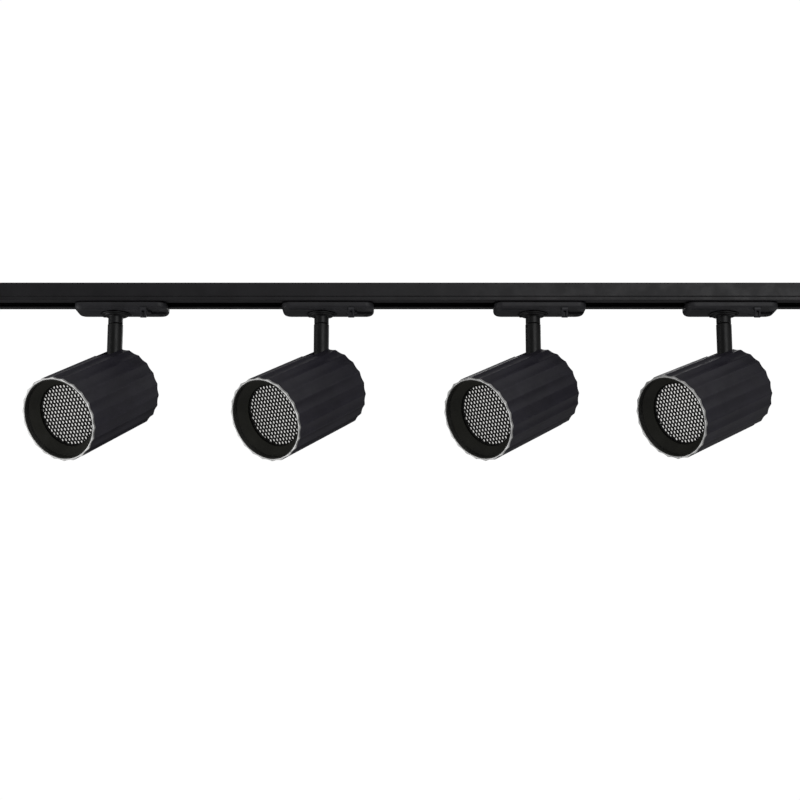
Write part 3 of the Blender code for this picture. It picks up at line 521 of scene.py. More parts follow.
def show(name, mesh, keys, body, space, slot, *nodes):
    """A piece with the finishes of those names, in place on its body, standing for its nodes."""
    piece = bpy.data.objects.new(name, mesh.copy())
    piece.data.name = name
    bpy.context.scene.collection.objects.link(piece)
    piece.matrix_world = space
    for key in keys:
        piece.data.materials.append(finish_named(key))
    piece.data.shade_smooth()
    piece.data.set_sharp_from_angle(angle=SHARP)
    even = piece.modifiers.new("even_shading", "WEIGHTED_NORMAL")
    even.keep_sharp = True
    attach(piece, body)
    if nodes:
        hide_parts(*nodes)


def show_each(name, mesh, keys, body, space_of, slot, *nodes):
    """The same piece on every spot, whose number takes the place of the star in each name."""
    for number in SPOTS:
        numbered = [title.replace("*", str(number)) for title in (name, body, *nodes)]
        show(numbered[0], mesh, keys, numbered[1], space_of(number), slot, *numbered[2:])


# --- effects that several finishes share


def new_group(name, inputs, outputs):
    """A shader node group with (name, kind, value) inputs and (name, kind) outputs."""
    group = bpy.data.node_groups.new(name, "ShaderNodeTree")
    for label, kind, value in inputs:
        socket = group.interface.new_socket(label, in_out="INPUT", socket_type=f"NodeSocket{kind}")
        if value is not None:
            socket.default_value = value
    for label, kind in outputs:
        group.interface.new_socket(label, in_out="OUTPUT", socket_type=f"NodeSocket{kind}")
    return group, group.nodes.new("NodeGroupInput"), group.nodes.new("NodeGroupOutput")


def put(tree, kind, values=None, **settings):
    """A new node with its settings and its inputs, given as values or as sockets to link."""
    node = tree.nodes.new(kind)
    for name, value in settings.items():
        setattr(node, name, value)
    for name, value in (values or {}).items():
        if isinstance(value, bpy.types.NodeSocket):
            tree.links.new(value, node.inputs[name])
        else:
            node.inputs[name].default_value = value
    return node


def compute(tree, operation, *values):
    """A Math node's result, from numbers or sockets."""
    node = put(tree, "ShaderNodeMath", dict(enumerate(values)), operation=operation)
    return node.outputs[0]


def ranged(tree, value, low, high, to_low=0.0, to_high=1.0, smooth=False):
    """A value taken from one range to another."""
    values = {"Value": value, "From Min": low, "From Max": high, "To Min": to_low, "To Max": to_high}
    kind = "SMOOTHSTEP" if smooth else "LINEAR"
    return put(tree, "ShaderNodeMapRange", values, interpolation_type=kind).outputs["Result"]


def grain_group():
    """Fine orange-peel grain of paint and moulded plastic."""
    inputs = [("Size", "Float", 0.0008), ("Roughness", "Float", 0.6)]
    group, given, result = new_group("Fine grain", inputs, [("Height", "Float")])
    place = put(group, "ShaderNodeTexCoord").outputs["Object"]
    scale = compute(group, "DIVIDE", 1.0, given.outputs["Size"])
    values = {"Vector": place, "Scale": scale, "Detail": 3.0, "Roughness": given.outputs["Roughness"]}
    noise = put(group, "ShaderNodeTexNoise", values)
    values = {"Vector": place, "Scale": scale, "Smoothness": 0.8}
    cells = put(group, "ShaderNodeTexVoronoi", values, feature="SMOOTH_F1")
    height = compute(group, "MULTIPLY_ADD", cells.outputs["Distance"], 0.6, noise.outputs[0])
    group.links.new(height, result.inputs["Height"])
    return group


def clouding_group():
    """Broad, soft unevenness of a finish."""
    inputs = [("Size", "Float", 0.02), ("Low", "Float", 0.0), ("High", "Float", 1.0)]
    group, given, result = new_group("Clouding", inputs, [("Value", "Float")])
    place = put(group, "ShaderNodeTexCoord").outputs["Object"]
    scale = compute(group, "DIVIDE", 1.0, given.outputs["Size"])
    values = {"Vector": place, "Scale": scale, "Detail": 2.0, "Distortion": 0.4}
    noise = put(group, "ShaderNodeTexNoise", values)
    value = ranged(group, noise.outputs[0], 0.32, 0.68, given.outputs["Low"], given.outputs["High"], True)
    group.links.new(value, result.inputs["Value"])
    return group


def dust_group():
    """Fine dust that settles on faces that look up."""
    inputs = [("Size", "Float", 0.004), ("Amount", "Float", 0.3)]
    group, given, result = new_group("Settled dust", inputs, [("Mask", "Float")])
    facing = put(group, "ShaderNodeSeparateXYZ", {0: put(group, "ShaderNodeNewGeometry").outputs["Normal"]})
    upward = ranged(group, facing.outputs["Z"], 0.25, 0.95, smooth=True)
    place = put(group, "ShaderNodeTexCoord").outputs["Object"]
    scale = compute(group, "DIVIDE", 1.0, given.outputs["Size"])
    values = {"Vector": place, "Scale": scale, "Detail": 5.0, "Roughness": 0.7}
    noise = put(group, "ShaderNodeTexNoise", values)
    patches = ranged(group, noise.outputs[0], 0.35, 0.75)
    mask = compute(group, "MULTIPLY", compute(group, "MULTIPLY", upward, patches), given.outputs["Amount"])
    group.links.new(mask, result.inputs["Mask"])
    return group


def wear_group():
    """Where edges and ridges are rubbed a little brighter."""
    inputs = [("Start", "Float", 0.52), ("Amount", "Float", 0.3)]
    group, given, result = new_group("Edge wear", inputs, [("Mask", "Float")])
    edge = put(group, "ShaderNodeNewGeometry").outputs["Pointiness"]
    end = compute(group, "ADD", given.outputs["Start"], 0.06)
    ridge = ranged(group, edge, given.outputs["Start"], end, smooth=True)
    place = put(group, "ShaderNodeTexCoord").outputs["Object"]
    noise = put(group, "ShaderNodeTexNoise", {"Vector": place, "Scale": 350.0, "Detail": 4.0})
    broken = ranged(group, noise.outputs[0], 0.40, 0.60)
    mask = compute(group, "MULTIPLY", compute(group, "MULTIPLY", ridge, broken), given.outputs["Amount"])
    group.links.new(mask, result.inputs["Mask"])
    return group


def lathe_group():
    """Fine rings that a lathe leaves round the Z axis."""
    inputs = [("Pitch", "Float", 0.00025)]
    group, given, result = new_group("Lathe marks", inputs, [("Height", "Float")])
    place = put(group, "ShaderNodeTexCoord").outputs["Object"]
    parts = put(group, "ShaderNodeSeparateXYZ", {0: place}).outputs
    across = compute(group, "MULTIPLY", parts["X"], parts["X"])
    squared = compute(group, "MULTIPLY_ADD", parts["Y"], parts["Y"], across)
    radius = compute(group, "SQRT", squared)
    rings = compute(group, "DIVIDE", compute(group, "SUBTRACT", radius, parts["Z"]), given.outputs["Pitch"])
    noise = put(group, "ShaderNodeTexNoise", {"W": rings, "Scale": 1.0, "Detail": 2.0}, noise_dimensions="1D")
    group.links.new(noise.outputs[0], result.inputs["Height"])
    return group


def drawn_group():
    """Faint lines along X that an extrusion die leaves."""
    inputs = [("Pitch", "Float", 0.0006)]
    group, given, result = new_group("Drawn lines", inputs, [("Height", "Float")])
    place = put(group, "ShaderNodeTexCoord").outputs["Object"]
    scale = compute(group, "DIVIDE", 1.0, given.outputs["Pitch"])
    squeezed = put(group, "ShaderNodeVectorMath", {0: place, 1: (0.004, 1.0, 1.0)}, operation="MULTIPLY")
    values = {"Vector": squeezed.outputs[0], "Scale": scale, "Detail": 2.0}
    noise = put(group, "ShaderNodeTexNoise", values)
    group.links.new(noise.outputs[0], result.inputs["Height"])
    return group


EFFECTS = {
    "grain": grain_group,
    "clouding": clouding_group,
    "dust": dust_group,
    "wear": wear_group,
    "lathe": lathe_group,
    "drawn": drawn_group,
}


def effect(tree, key, **values):
    """One of the shared groups, placed in a material with its own values."""
    title = f"track_{key}"
    if title not in bpy.data.node_groups:
        EFFECTS[key]().name = title
    node = tree.nodes.new("ShaderNodeGroup")
    node.node_tree = bpy.data.node_groups[title]
    for name, value in values.items():
        node.inputs[name.capitalize()].default_value = value
    return node.outputs[0]


# --- finishes


def new_finish(name, roughness, **settings):
    """A material with a Principled shader, and that shader."""
    finish = bpy.data.materials.new(name)
    finish.use_nodes = True
    shader = finish.node_tree.nodes["Principled BSDF"]
    shader.inputs["Roughness"].default_value = roughness
    for label, value in settings.items():
        shader.inputs[label.replace("_", " ")].default_value = value
    return finish, finish.node_tree, shader


def mixed(tree, amount, one, other):
    """A colour between two others. Each is a socket or a colour."""
    node = tree.nodes.new("ShaderNodeMix")
    node.data_type = "RGBA"
    for place, value in ((0, amount), (6, one), (7, other)):
        if isinstance(value, bpy.types.NodeSocket):
            tree.links.new(value, node.inputs[place])
        else:
            node.inputs[place].default_value = value
    return node.outputs[2]


def scaled(tint, amount):
    """A colour made lighter or darker, with its alpha."""
    return (*[channel * amount for channel in tint], 1.0)


def bumped(tree, shader, height, distance):
    bump = put(tree, "ShaderNodeBump", {"Height": height, "Distance": distance})
    tree.links.new(bump.outputs["Normal"], shader.inputs["Normal"])
    return bump


def coated(name, tint, roughness, grain, depth, dust=0.25, wear=0.0, drawn=0.0, patch=0.02, **settings):
    """Paint, powder coat or moulded plastic: grain, clouding, settled dust and rubbed edges."""
    finish, tree, shader = new_finish(name, roughness, **settings)
    clouds = effect(tree, "clouding", size=patch)
    base = mixed(tree, clouds, scaled(tint, 0.86), scaled(tint, 1.14))
    if wear:
        rubbed = effect(tree, "wear", amount=wear)
        base = mixed(tree, rubbed, base, scaled(tint, 4.0))
    if dust:
        base = mixed(tree, effect(tree, "dust", amount=dust), base, (0.10, 0.098, 0.095, 1.0))
    tree.links.new(base, shader.inputs["Base Color"])
    gloss = effect(tree, "clouding", size=patch * 0.6, low=roughness - 0.05, high=roughness + 0.05)
    tree.links.new(gloss, shader.inputs["Roughness"])
    height = effect(tree, "grain", size=grain)
    bump = bumped(tree, shader, height, depth)
    if drawn:
        lines = put(tree, "ShaderNodeBump", {"Height": effect(tree, "drawn"), "Distance": drawn})
        tree.links.new(lines.outputs["Normal"], bump.inputs["Normal"])
    return finish


def machined(name, tint, roughness, pitch, depth):
    """Bare metal with lathe marks and uneven shine."""
    finish, tree, shader = new_finish(name, roughness, Metallic=1.0)
    clouds = effect(tree, "clouding", size=0.012)
    tree.links.new(mixed(tree, clouds, scaled(tint, 0.88), scaled(tint, 1.06)), shader.inputs["Base Color"])
    gloss = effect(tree, "clouding", size=0.007, low=roughness - 0.07, high=roughness + 0.08)
    tree.links.new(gloss, shader.inputs["Roughness"])
    bumped(tree, shader, effect(tree, "lathe", pitch=pitch), depth)
    return finish


def frosted(name, tint, glow):
    """A frosted disc that gives off painted glow, as no lamp behind it is lit: brighter in the middle, a
    little dimmer towards its edge.
    """
    finish, tree, shader = new_finish(name, 0.55)
    clouds = effect(tree, "clouding", size=0.006)
    tree.links.new(mixed(tree, clouds, scaled(tint, 0.97), scaled(tint, 1.03)), shader.inputs["Base Color"])
    place = put(tree, "ShaderNodeTexCoord").outputs["Object"]
    flat = put(tree, "ShaderNodeVectorMath", {0: place, 1: (1.0, 1.0, 0.0)}, operation="MULTIPLY")
    radius = put(tree, "ShaderNodeVectorMath", {0: flat.outputs[0]}, operation="LENGTH").outputs["Value"]
    # painted glow: the emission stands in for light through the cells, painted dimmer towards the disc's edge
    fall = ranged(tree, radius, LOUVRE_RADIUS * 0.4, LOUVRE_RADIUS, smooth=True)
    light = mixed(tree, fall, scaled(tint, 1.0), scaled(tint, 0.85))
    tree.links.new(light, shader.inputs["Emission Color"])
    shader.inputs["Emission Strength"].default_value = glow
    bumped(tree, shader, effect(tree, "grain", size=0.0003), 0.00002)
    return finish


def finish_named(key):
    """The finish of that name, made at its first use."""
    name = f"track_{key}"
    if name not in bpy.data.materials:
        MAKERS[key](name, bpy.context.scene.track_finish)
    return bpy.data.materials[name]


MAKERS = {
    "rail": lambda name, f: coated(name, f.rail, 0.42, 0.0006, 0.000008, dust=0.3, drawn=0.000008),
    "head": lambda name, f: coated(name, f.head, 0.42, 0.0005, 0.000008, dust=0.03, wear=0.12, patch=0.03),
    "stem": lambda name, f: coated(name, f.stem, 0.40, 0.0005, 0.000008, dust=0.06, wear=0.15),
    "socket": lambda name, f: coated(name, f.socket, 0.42, 0.0005, 0.000008, dust=0.06, wear=0.1),
    "moulding": lambda name, f: coated(name, f.moulding, 0.46, 0.0005, 0.00001, wear=0.15),
    "baffle": lambda name, f: coated(name, f.baffle, 0.62, 0.0005, 0.00003, dust=0.1),
    "lip": lambda name, f: coated(name, f.lip, 0.34, 0.0006, 0.000004, dust=0.0),
    "louvre": lambda name, f: coated(name, f.louvre, 0.7, 0.0004, 0.00001, dust=0.0, Specular_IOR_Level=0.25),
    "bright": lambda name, f: machined(name, f.bright, 0.40, 0.00022, 0.000012),
    "frosted": lambda name, f: frosted(name, f.frosted, f.glow),
    "lamp": lambda name, f: coated(name, f.lamp, 0.35, 0.0008, 0.00002, dust=0.0),
    "ceramic": lambda name, f: coated(name, f.ceramic, 0.7, 0.0004, 0.00004, dust=0.0),
    "copper": lambda name, f: machined(name, f.copper, 0.30, 0.0003, 0.00001),
    "steel": lambda name, f: machined(name, f.steel, 0.28, 0.0002, 0.00001),
    "liner": lambda name, f: coated(name, f.liner, 0.5, 0.0007, 0.00002, dust=0.0, drawn=0.00001),
}


def refinish(node, key):
    """A node of the frame that keeps its shape gets a finish of its own."""
    slots = frame["nodes"][node].material_slots
    for slot in slots:
        slot.material = finish_named(key)


# --- the rail and its ends


def rail_outline(sizes):
    """Half of the rail's section, as (y, z, rounding), from the top's middle round to the slot."""
    half = RAIL_HIGH.y
    bottom = RAIL_LOW.z
    inner = half - sizes.wall
    lip_top = bottom + sizes.lip
    groove = bottom + sizes.groove_from_bottom
    sharp = 0.0001
    inside = 0.0002
    outside = 0.0003
    rib_end = inner - sizes.rib_reach
    soft = sizes.lip_fillet
    corners = [
        (half, 0.0, sizes.fillet),
        (half, groove + sizes.groove_height, soft),
        (half - sizes.groove_depth, groove + sizes.groove_height / 2, sharp),
        (half, groove, soft),
        (half, bottom, sizes.fillet),
        (sizes.slot / 2, bottom, soft),
        (sizes.slot / 2, lip_top, soft),
        (inner, lip_top, soft),
    ]
    low_rib = lip_top + sizes.rib_above_lip
    high_rib = -sizes.wall - sizes.rib_below_roof - sizes.rib
    for rib in (low_rib, high_rib):
        corners += [
            (inner, rib, inside),
            (rib_end, rib, outside),
            (rib_end, rib + sizes.rib, outside),
            (inner, rib + sizes.rib, inside),
        ]
    return corners + [(inner, -sizes.wall, inside)]


def build_rail(sizes):
    corners = rail_outline(sizes)
    mirrored = [(-y, z, soft) for y, z, soft in reversed(corners)]
    outline = rounded(corners + mirrored)
    rail = prism("track_rail", outline, RAIL_LOW.x, RAIL_HIGH.x, Z_TO_X)
    tools = []
    for number in range(sizes.hole_count):
        x = (number - (sizes.hole_count - 1) / 2) * sizes.hole_pitch
        tools.append(prism("hole", circle(sizes.hole, TINY_ROUND, (x, 0.0)), -3 * sizes.wall, sizes.wall))
    show("rail", cut(rail, *tools), ["rail"], "track", Matrix(), "rail_black", "track_rail")


SECTION_CORNER = 0.0014
END_EDGE = 0.0006
SLOT_GAP = TOUCH_GAP + 0.0001
FEED_WALL = 0.0018
INLET_RADIUS = 0.004
KNOCKOUT_RADIUS = 0.0075
KNOCKOUT_DEPTH = 0.0003
TONGUE = 0.0026
LID_CORNER = 0.001
LID_EDGE = 0.0003
LID_SCREW_FROM_END = 0.006
LID_SEAT_RADIUS = 0.0028
LID_SEAT_DEPTH = 0.0009


def section(inset=0.0):
    """The rail's outer section as an outline, for the pieces at its ends."""
    low = (RAIL_LOW.y + inset, RAIL_LOW.z + inset)
    high = (RAIL_HIGH.y - inset, RAIL_HIGH.z - inset)
    return rectangle(low[0], high[0], low[1], high[1], SECTION_CORNER)


def build_end_cap(sizes):
    plug_half = sizes.slot / 2 - SLOT_GAP
    cap = soft_prism("end_cap", section, RAIL_HIGH.x + TOUCH_GAP, CAP_HIGH.x, END_EDGE)
    cap.transform(Z_TO_X)
    low = (CAP_LOW.x, -plug_half, RAIL_LOW.z + sizes.lip)
    high = (RAIL_HIGH.x + 2 * TOUCH_GAP, plug_half, -sizes.wall - TOUCH_GAP)
    cap = join(cap, box("plug", low, high))
    show("end_cap_shell", cap, ["moulding"], "track", Matrix(), "moulded_black", "end_cap")


def screw(radius, height, slot_depth):
    """A low round screw head with a cross recess, standing on its top face at height zero."""
    corners = [(0, -height, 0), (radius, -height, 0), (radius, 0, 0.3 * height), (0, 0, 0)]
    head = turned("screw", corners, TINY_ROUND)
    arm = radius * 0.62
    half = radius * 0.13
    return cut(
        head,
        box("slot", (-arm, -half, -slot_depth), (arm, half, height)),
        box("slot", (-half, -arm, -slot_depth), (half, arm, height)),
    )


def build_feed(sizes):
    """The feed's box with its inlet and its tongue in the rail, and its screwed lid."""
    end = FEED_LOW.x
    outside = end - FEED_WALL
    centre = (0.0, RAIL_LOW.z / 2)
    housing = soft_prism("feed", section, end, RAIL_LOW.x - TOUCH_GAP, END_EDGE)
    housing.transform(Z_TO_X)
    inner = RAIL_HIGH.y - FEED_WALL
    hollow = rectangle(end + FEED_WALL, RAIL_LOW.x + FEED_WALL, -inner, inner)
    knockout = circle(KNOCKOUT_RADIUS, SMALL_ROUND, centre)
    housing = cut(
        housing,
        prism("hollow", hollow, RAIL_LOW.z - FEED_WALL, -FEED_WALL),
        prism("inlet", circle(INLET_RADIUS, TINY_ROUND, centre), outside, end + 2 * FEED_WALL, Z_TO_X),
        prism("knockout", knockout, outside, end + KNOCKOUT_DEPTH, Z_TO_X),
    )
    half = sizes.slot / 2 - SLOT_GAP
    start = RAIL_LOW.x - BEYOND
    roof = -sizes.wall - TOUCH_GAP
    tongue = box("tongue", (start, -half, roof - TONGUE), (FEED_HIGH.x, half, roof))
    root_end = (RAIL_LOW.x - 2 * TOUCH_GAP, half, -FEED_WALL / 2)
    housing = join(housing, tongue, box("root", (start, -half, -FEED_WALL - TONGUE), root_end))
    show("feed_shell", housing, ["moulding"], "track", Matrix(), "moulded_black", "feed_housing")

    def lid(inset):
        low = (COVER_LOW.x + inset, COVER_LOW.y + inset)
        high = (COVER_HIGH.x - inset, COVER_HIGH.y - inset)
        return rectangle(low[0], high[0], low[1], high[1], LID_CORNER)

    bottom = COVER_LOW.z
    middle = (COVER_LOW.x + COVER_HIGH.x) / 2
    reach = (COVER_HIGH.x - COVER_LOW.x) / 2 - LID_SCREW_FROM_END
    places = [(middle + side * reach, 0.0) for side in (-1, 1)]
    seats = []
    for place in places:
        outline = circle(LID_SEAT_RADIUS, TINY_ROUND, place)
        seats.append(prism("seat", outline, bottom - OVERLAP, bottom + LID_SEAT_DEPTH))
    cover = cut(soft_prism("cover", lid, bottom, COVER_HIGH.z, LID_EDGE), *seats)
    show("feed_lid", cover, ["moulding"], "track", Matrix(), "moulded_black", "feed_cover")
    head = screw(radius=0.0024, height=0.0007, slot_depth=0.0004)
    for number, place in enumerate(places, start=1):
        space = Matrix.Translation((*place, bottom + SCREW_SUNK)) @ TURNED_OVER
        show(f"feed_screw_{number}", head, ["steel"], "track", space, "steel")


# --- adapter and lever


NECK_CORNER = 0.001
NIPPLE_HOLE = 0.004
SCREW_FROM_END = 0.0075
SCREW_OFF_CENTRE = 0.0065
SCREW_SEAT_RADIUS = 0.0021
SCREW_SEAT_DEPTH = 0.0012
ADAPTER_SCREW_SUNK = 0.0003
DISH_MARGIN = 0.0010


def slab_outline(sizes, inset):
    half = ADAPTER_HALF - inset
    return rectangle(ADAPTER_LEFT + inset, ADAPTER_RIGHT - inset, -half, half, sizes.corner - inset)


def lever_sweep(sizes):
    """The outline that the lever's arm covers as it turns a quarter turn from the front."""
    side = sizes.arm_width / 2 + TOUCH_GAP
    reach = LEVER_REACH + SWING_GAP
    spread = math.degrees(math.asin(side / reach))
    sweep = [(-side, side)] + arc(reach, -90 - spread, spread)
    return [(LEVER_PLACE + x, y) for x, y in sweep]


def build_adapters(sizes):
    """A rounded slab with a hollow neck and a heel above it, and what is let in from below."""
    top = ADAPTER_BOTTOM + sizes.thickness
    rings = []
    for inset, height in arc_insets(sizes.bottom_fillet, sizes.bottom_fillet, 8):
        rings.append(at_height(slab_outline(sizes, inset), ADAPTER_BOTTOM + height))
    for inset, height in reversed(arc_insets(sizes.top_fillet, sizes.top_fillet)):
        rings.append(at_height(slab_outline(sizes, inset), top - height))
    half = sizes.neck_half
    left = ADAPTER_LEFT + sizes.neck_inset
    right = ADAPTER_RIGHT - sizes.neck_inset
    neck_end = LEVER_PLACE - sizes.blade_room
    heel = rectangle(LEVER_PLACE + sizes.blade_room, right, -half, half, NECK_CORNER)
    slab = join(
        skin("adapter", rings),
        prism("neck", rectangle(left, neck_end, -half, half, NECK_CORNER), top - OVERLAP, NECK_TOP),
        prism("heel", heel, top - OVERLAP, NECK_TOP),
    )
    floor_top = ADAPTER_BOTTOM + sizes.floor
    inner = half - sizes.neck_wall
    hollow = rectangle(left + sizes.neck_wall, neck_end - sizes.neck_wall, -inner, inner, NECK_CORNER)
    below = ADAPTER_BOTTOM - BEYOND
    pocket_top = ADAPTER_BOTTOM + sizes.arm_thickness + 2 * TOUCH_GAP
    shaft = circle(sizes.shaft + TOUCH_GAP, centre=(LEVER_PLACE, 0.0))
    dish = circle(FLANGE_RADIUS + DISH_MARGIN, ROUND)
    screw_place = (ADAPTER_RIGHT - SCREW_FROM_END, SCREW_OFF_CENTRE)
    seat = circle(SCREW_SEAT_RADIUS, centre=screw_place)
    body = cut(
        slab,
        prism("hollow", hollow, floor_top, OVERLAP),
        prism("nipple_hole", circle(NIPPLE_HOLE), below, floor_top + OVERLAP),
        prism("shaft_hole", shaft, below, top + BEYOND),
        prism("pocket", lever_sweep(sizes), below, pocket_top),
        prism("dish", dish, below, ADAPTER_BOTTOM + sizes.dish),
        prism("seat", seat, below, ADAPTER_BOTTOM + SCREW_SEAT_DEPTH),
    )
    rider = "adapter_*"
    show_each("adapter_shell_*", body, ["moulding"], rider, adapter_space, "moulded_black", "adapter_body_*")
    head = screw(radius=0.0018, height=0.0008, slot_depth=0.0005)
    place = Matrix.Translation((*screw_place, ADAPTER_BOTTOM + ADAPTER_SCREW_SUNK)) @ TURNED_OVER

    def screw_space(number):
        return adapter_space(number) @ place

    show_each("adapter_screw_*", head, ["moulding"], rider, screw_space, "steel")


LIP_THICKNESS = 0.0014
WING_HALF_WIDTH = 0.004
WING_HALF_LENGTH = 0.012
WING_CORNER = 0.0039
WING_THICKNESS = 0.002
TAB_EDGE = 0.0009
GROOVE_FROM_SIDE = 0.0015
GROOVE_FROM_TIP = 0.0012
GROOVE_FROM_ARM = 0.0014
GROOVE_CORNER = 0.0008
GROOVE_REACH = 0.0032
BLADE_HALF_WIDTH = 0.0028
BLADE_FROM_AXIS = 0.0019


def thumb_tab(sizes, arm_top):
    """The tab that a thumb turns, as (y, z, rounding) corners."""
    front = -LEVER_REACH
    tip = front + sizes.tab_lean
    return rounded(
        [
            (front, arm_top, 0.0008),
            (front, ADAPTER_BOTTOM, 0.002),
            (tip, LEVER_BOTTOM, TAB_EDGE),
            (tip + sizes.tab_tip, LEVER_BOTTOM, TAB_EDGE),
            (front + sizes.tab_root, arm_top, 0),
        ]
    )


def build_levers(sizes):
    """A shaft with a hub and a locking wing, and an arm below with a grooved tab at its end."""
    arm_top = ADAPTER_BOTTOM + sizes.arm_thickness + TOUCH_GAP
    arm_bottom = arm_top - sizes.arm_thickness
    wing_bottom = RAIL_LOW.z + LIP_THICKNESS + TOUCH_GAP
    wing_top = wing_bottom + WING_THICKNESS
    half = sizes.arm_width / 2
    front = -LEVER_REACH
    corners = [
        (0, arm_bottom, 0),
        (sizes.shaft, arm_bottom, 0.0003),
        (sizes.shaft, wing_top, 0),
        (sizes.hub, wing_top, 0.0004),
        (sizes.hub, HUB_TOP, 0.0006),
        (0, HUB_TOP, 0),
    ]
    arm = rectangle(-half, half, front + sizes.tab_root - OVERLAP, 0.0)
    width = WING_HALF_WIDTH
    wing = rectangle(-width, width, -WING_HALF_LENGTH, WING_HALF_LENGTH, WING_CORNER)
    body = join(
        turned("lever", corners, SMALL_ROUND),
        prism("arm", arm, arm_bottom + TOUCH_GAP / 2, arm_top),
        prism("tab", thumb_tab(sizes, arm_top), -half, half, Z_TO_X),
        prism("wing", wing, wing_bottom, wing_top + TOUCH_GAP),
    )
    side = half - GROOVE_FROM_SIDE
    low = LEVER_BOTTOM + GROOVE_FROM_TIP
    groove = rectangle(-side, side, low, arm_bottom - GROOVE_FROM_ARM, GROOVE_CORNER)
    groove = prism("groove", groove, front - OVERLAP, front + GROOVE_REACH, Y_AND_Z_SWAPPED)
    blade_low, blade_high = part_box(f"contact_blade_front_{FIRST}")
    slots = []
    for sign in (-1, 1):
        edges = sorted((sign * BLADE_FROM_AXIS, sign * (sizes.hub + BEYOND)))
        low = (-BLADE_HALF_WIDTH, edges[0], blade_low.z - TOUCH_GAP)
        slots.append(box("blade_slot", low, (BLADE_HALF_WIDTH, edges[1], blade_high.z + TOUCH_GAP)))
    body = cut(body, outward(groove), *slots)
    show_each("lever_*_moulding", body, ["moulding"], "lever_*", lever_space, "moulded_black", "lock_lever_*")
    for number in SPOTS:
        for side in ("front", "rear"):
            refinish(f"contact_blade_{side}_{number}", "copper")


# --- stem


LUG_REACH = 0.0002
LUG_LENGTH = 0.0020
LUG_HALF_WIDTH = 0.0016
LUG_DROP = 0.0010
LUG_ROOT = 0.0005
WIRE_CORE = 0.0025
PIN_SLACK = 0.0004


def build_sockets(sizes):
    """The flange, collar and fixed stub under the adapter, with two lugs on the flange's edge."""
    top = ADAPTER_BOTTOM - TOUCH_GAP
    flange = top - sizes.flange
    collar = flange - sizes.collar
    stub = STEM_RADIUS - sizes.stub_step
    end = collar - sizes.stub
    corners = [
        (WIRE_HOLE, SOCKET_TOP, 0),
        (sizes.nipple_radius, SOCKET_TOP, 0.0003),
        (sizes.nipple_radius, top, 0),
        (FLANGE_RADIUS, top, 0.0002),
        (FLANGE_RADIUS, flange, 0.0006),
        (sizes.collar_radius, flange, 0.0003),
        (sizes.collar_radius, collar, 0.0009),
        (stub, collar, 0.0005),
        (stub, end, sizes.seam_chamfer),
        (sizes.spigot_radius, end, 0.0002),
        (sizes.spigot_radius, SOCKET_BOTTOM, 0.0004),
        (WIRE_HOLE, SOCKET_BOTTOM, 0),
    ]
    lugs = []
    for side in (-1, 1):
        outer = FLANGE_RADIUS - LUG_REACH
        edges = sorted((side * (outer - LUG_LENGTH), side * outer))
        low = (edges[0], -LUG_HALF_WIDTH, flange - LUG_DROP)
        lug = box("lug", low, (edges[1], LUG_HALF_WIDTH, flange + LUG_ROOT))
        lug.transform(Matrix.Rotation(sizes.lug_turn, 4, "Z"))
        lugs.append(lug)
    body = join(turned("socket", corners), *lugs)
    show_each("socket_*", body, ["socket"], "adapter_*", adapter_space, "painted_black", "stem_socket_*")


def build_stems(sizes):
    """The part of the stem that turns, bored for the spigot and the pin, with a round lower end."""
    bore = sizes.spigot_radius + TOUCH_GAP
    shoulder = SOCKET_BOTTOM - STEM.translation.z - TOUCH_GAP
    pivot = STEM_BOTTOM + STEM_RADIUS
    solid_top = pivot + 2 * STEM_RADIUS
    corners = [
        (0, solid_top, 0),
        (WIRE_CORE, solid_top, 0),
        (WIRE_CORE, shoulder, 0),
        (bore, shoulder, 0),
        (bore, 0, 0.0002),
        (STEM_RADIUS, 0, sizes.seam_chamfer),
        (STEM_RADIUS, STEM_BOTTOM, STEM_RADIUS * 0.98),
        (0, STEM_BOTTOM, 0),
    ]
    reach = STEM_RADIUS + BEYOND
    hole = circle(PIN_RADIUS + PIN_SLACK, TINY_ROUND, (0.0, pivot))
    body = cut(turned("stem", corners), prism("pin_hole", hole, -reach, reach, Z_TO_X))
    show_each("stem_*_tube", body, ["stem"], "stem_*", stem_space, "painted_black", "stem_tube_*")


# --- head


FRONT_CHAMFER = 0.0003
EAR_CORNER = 0.0050


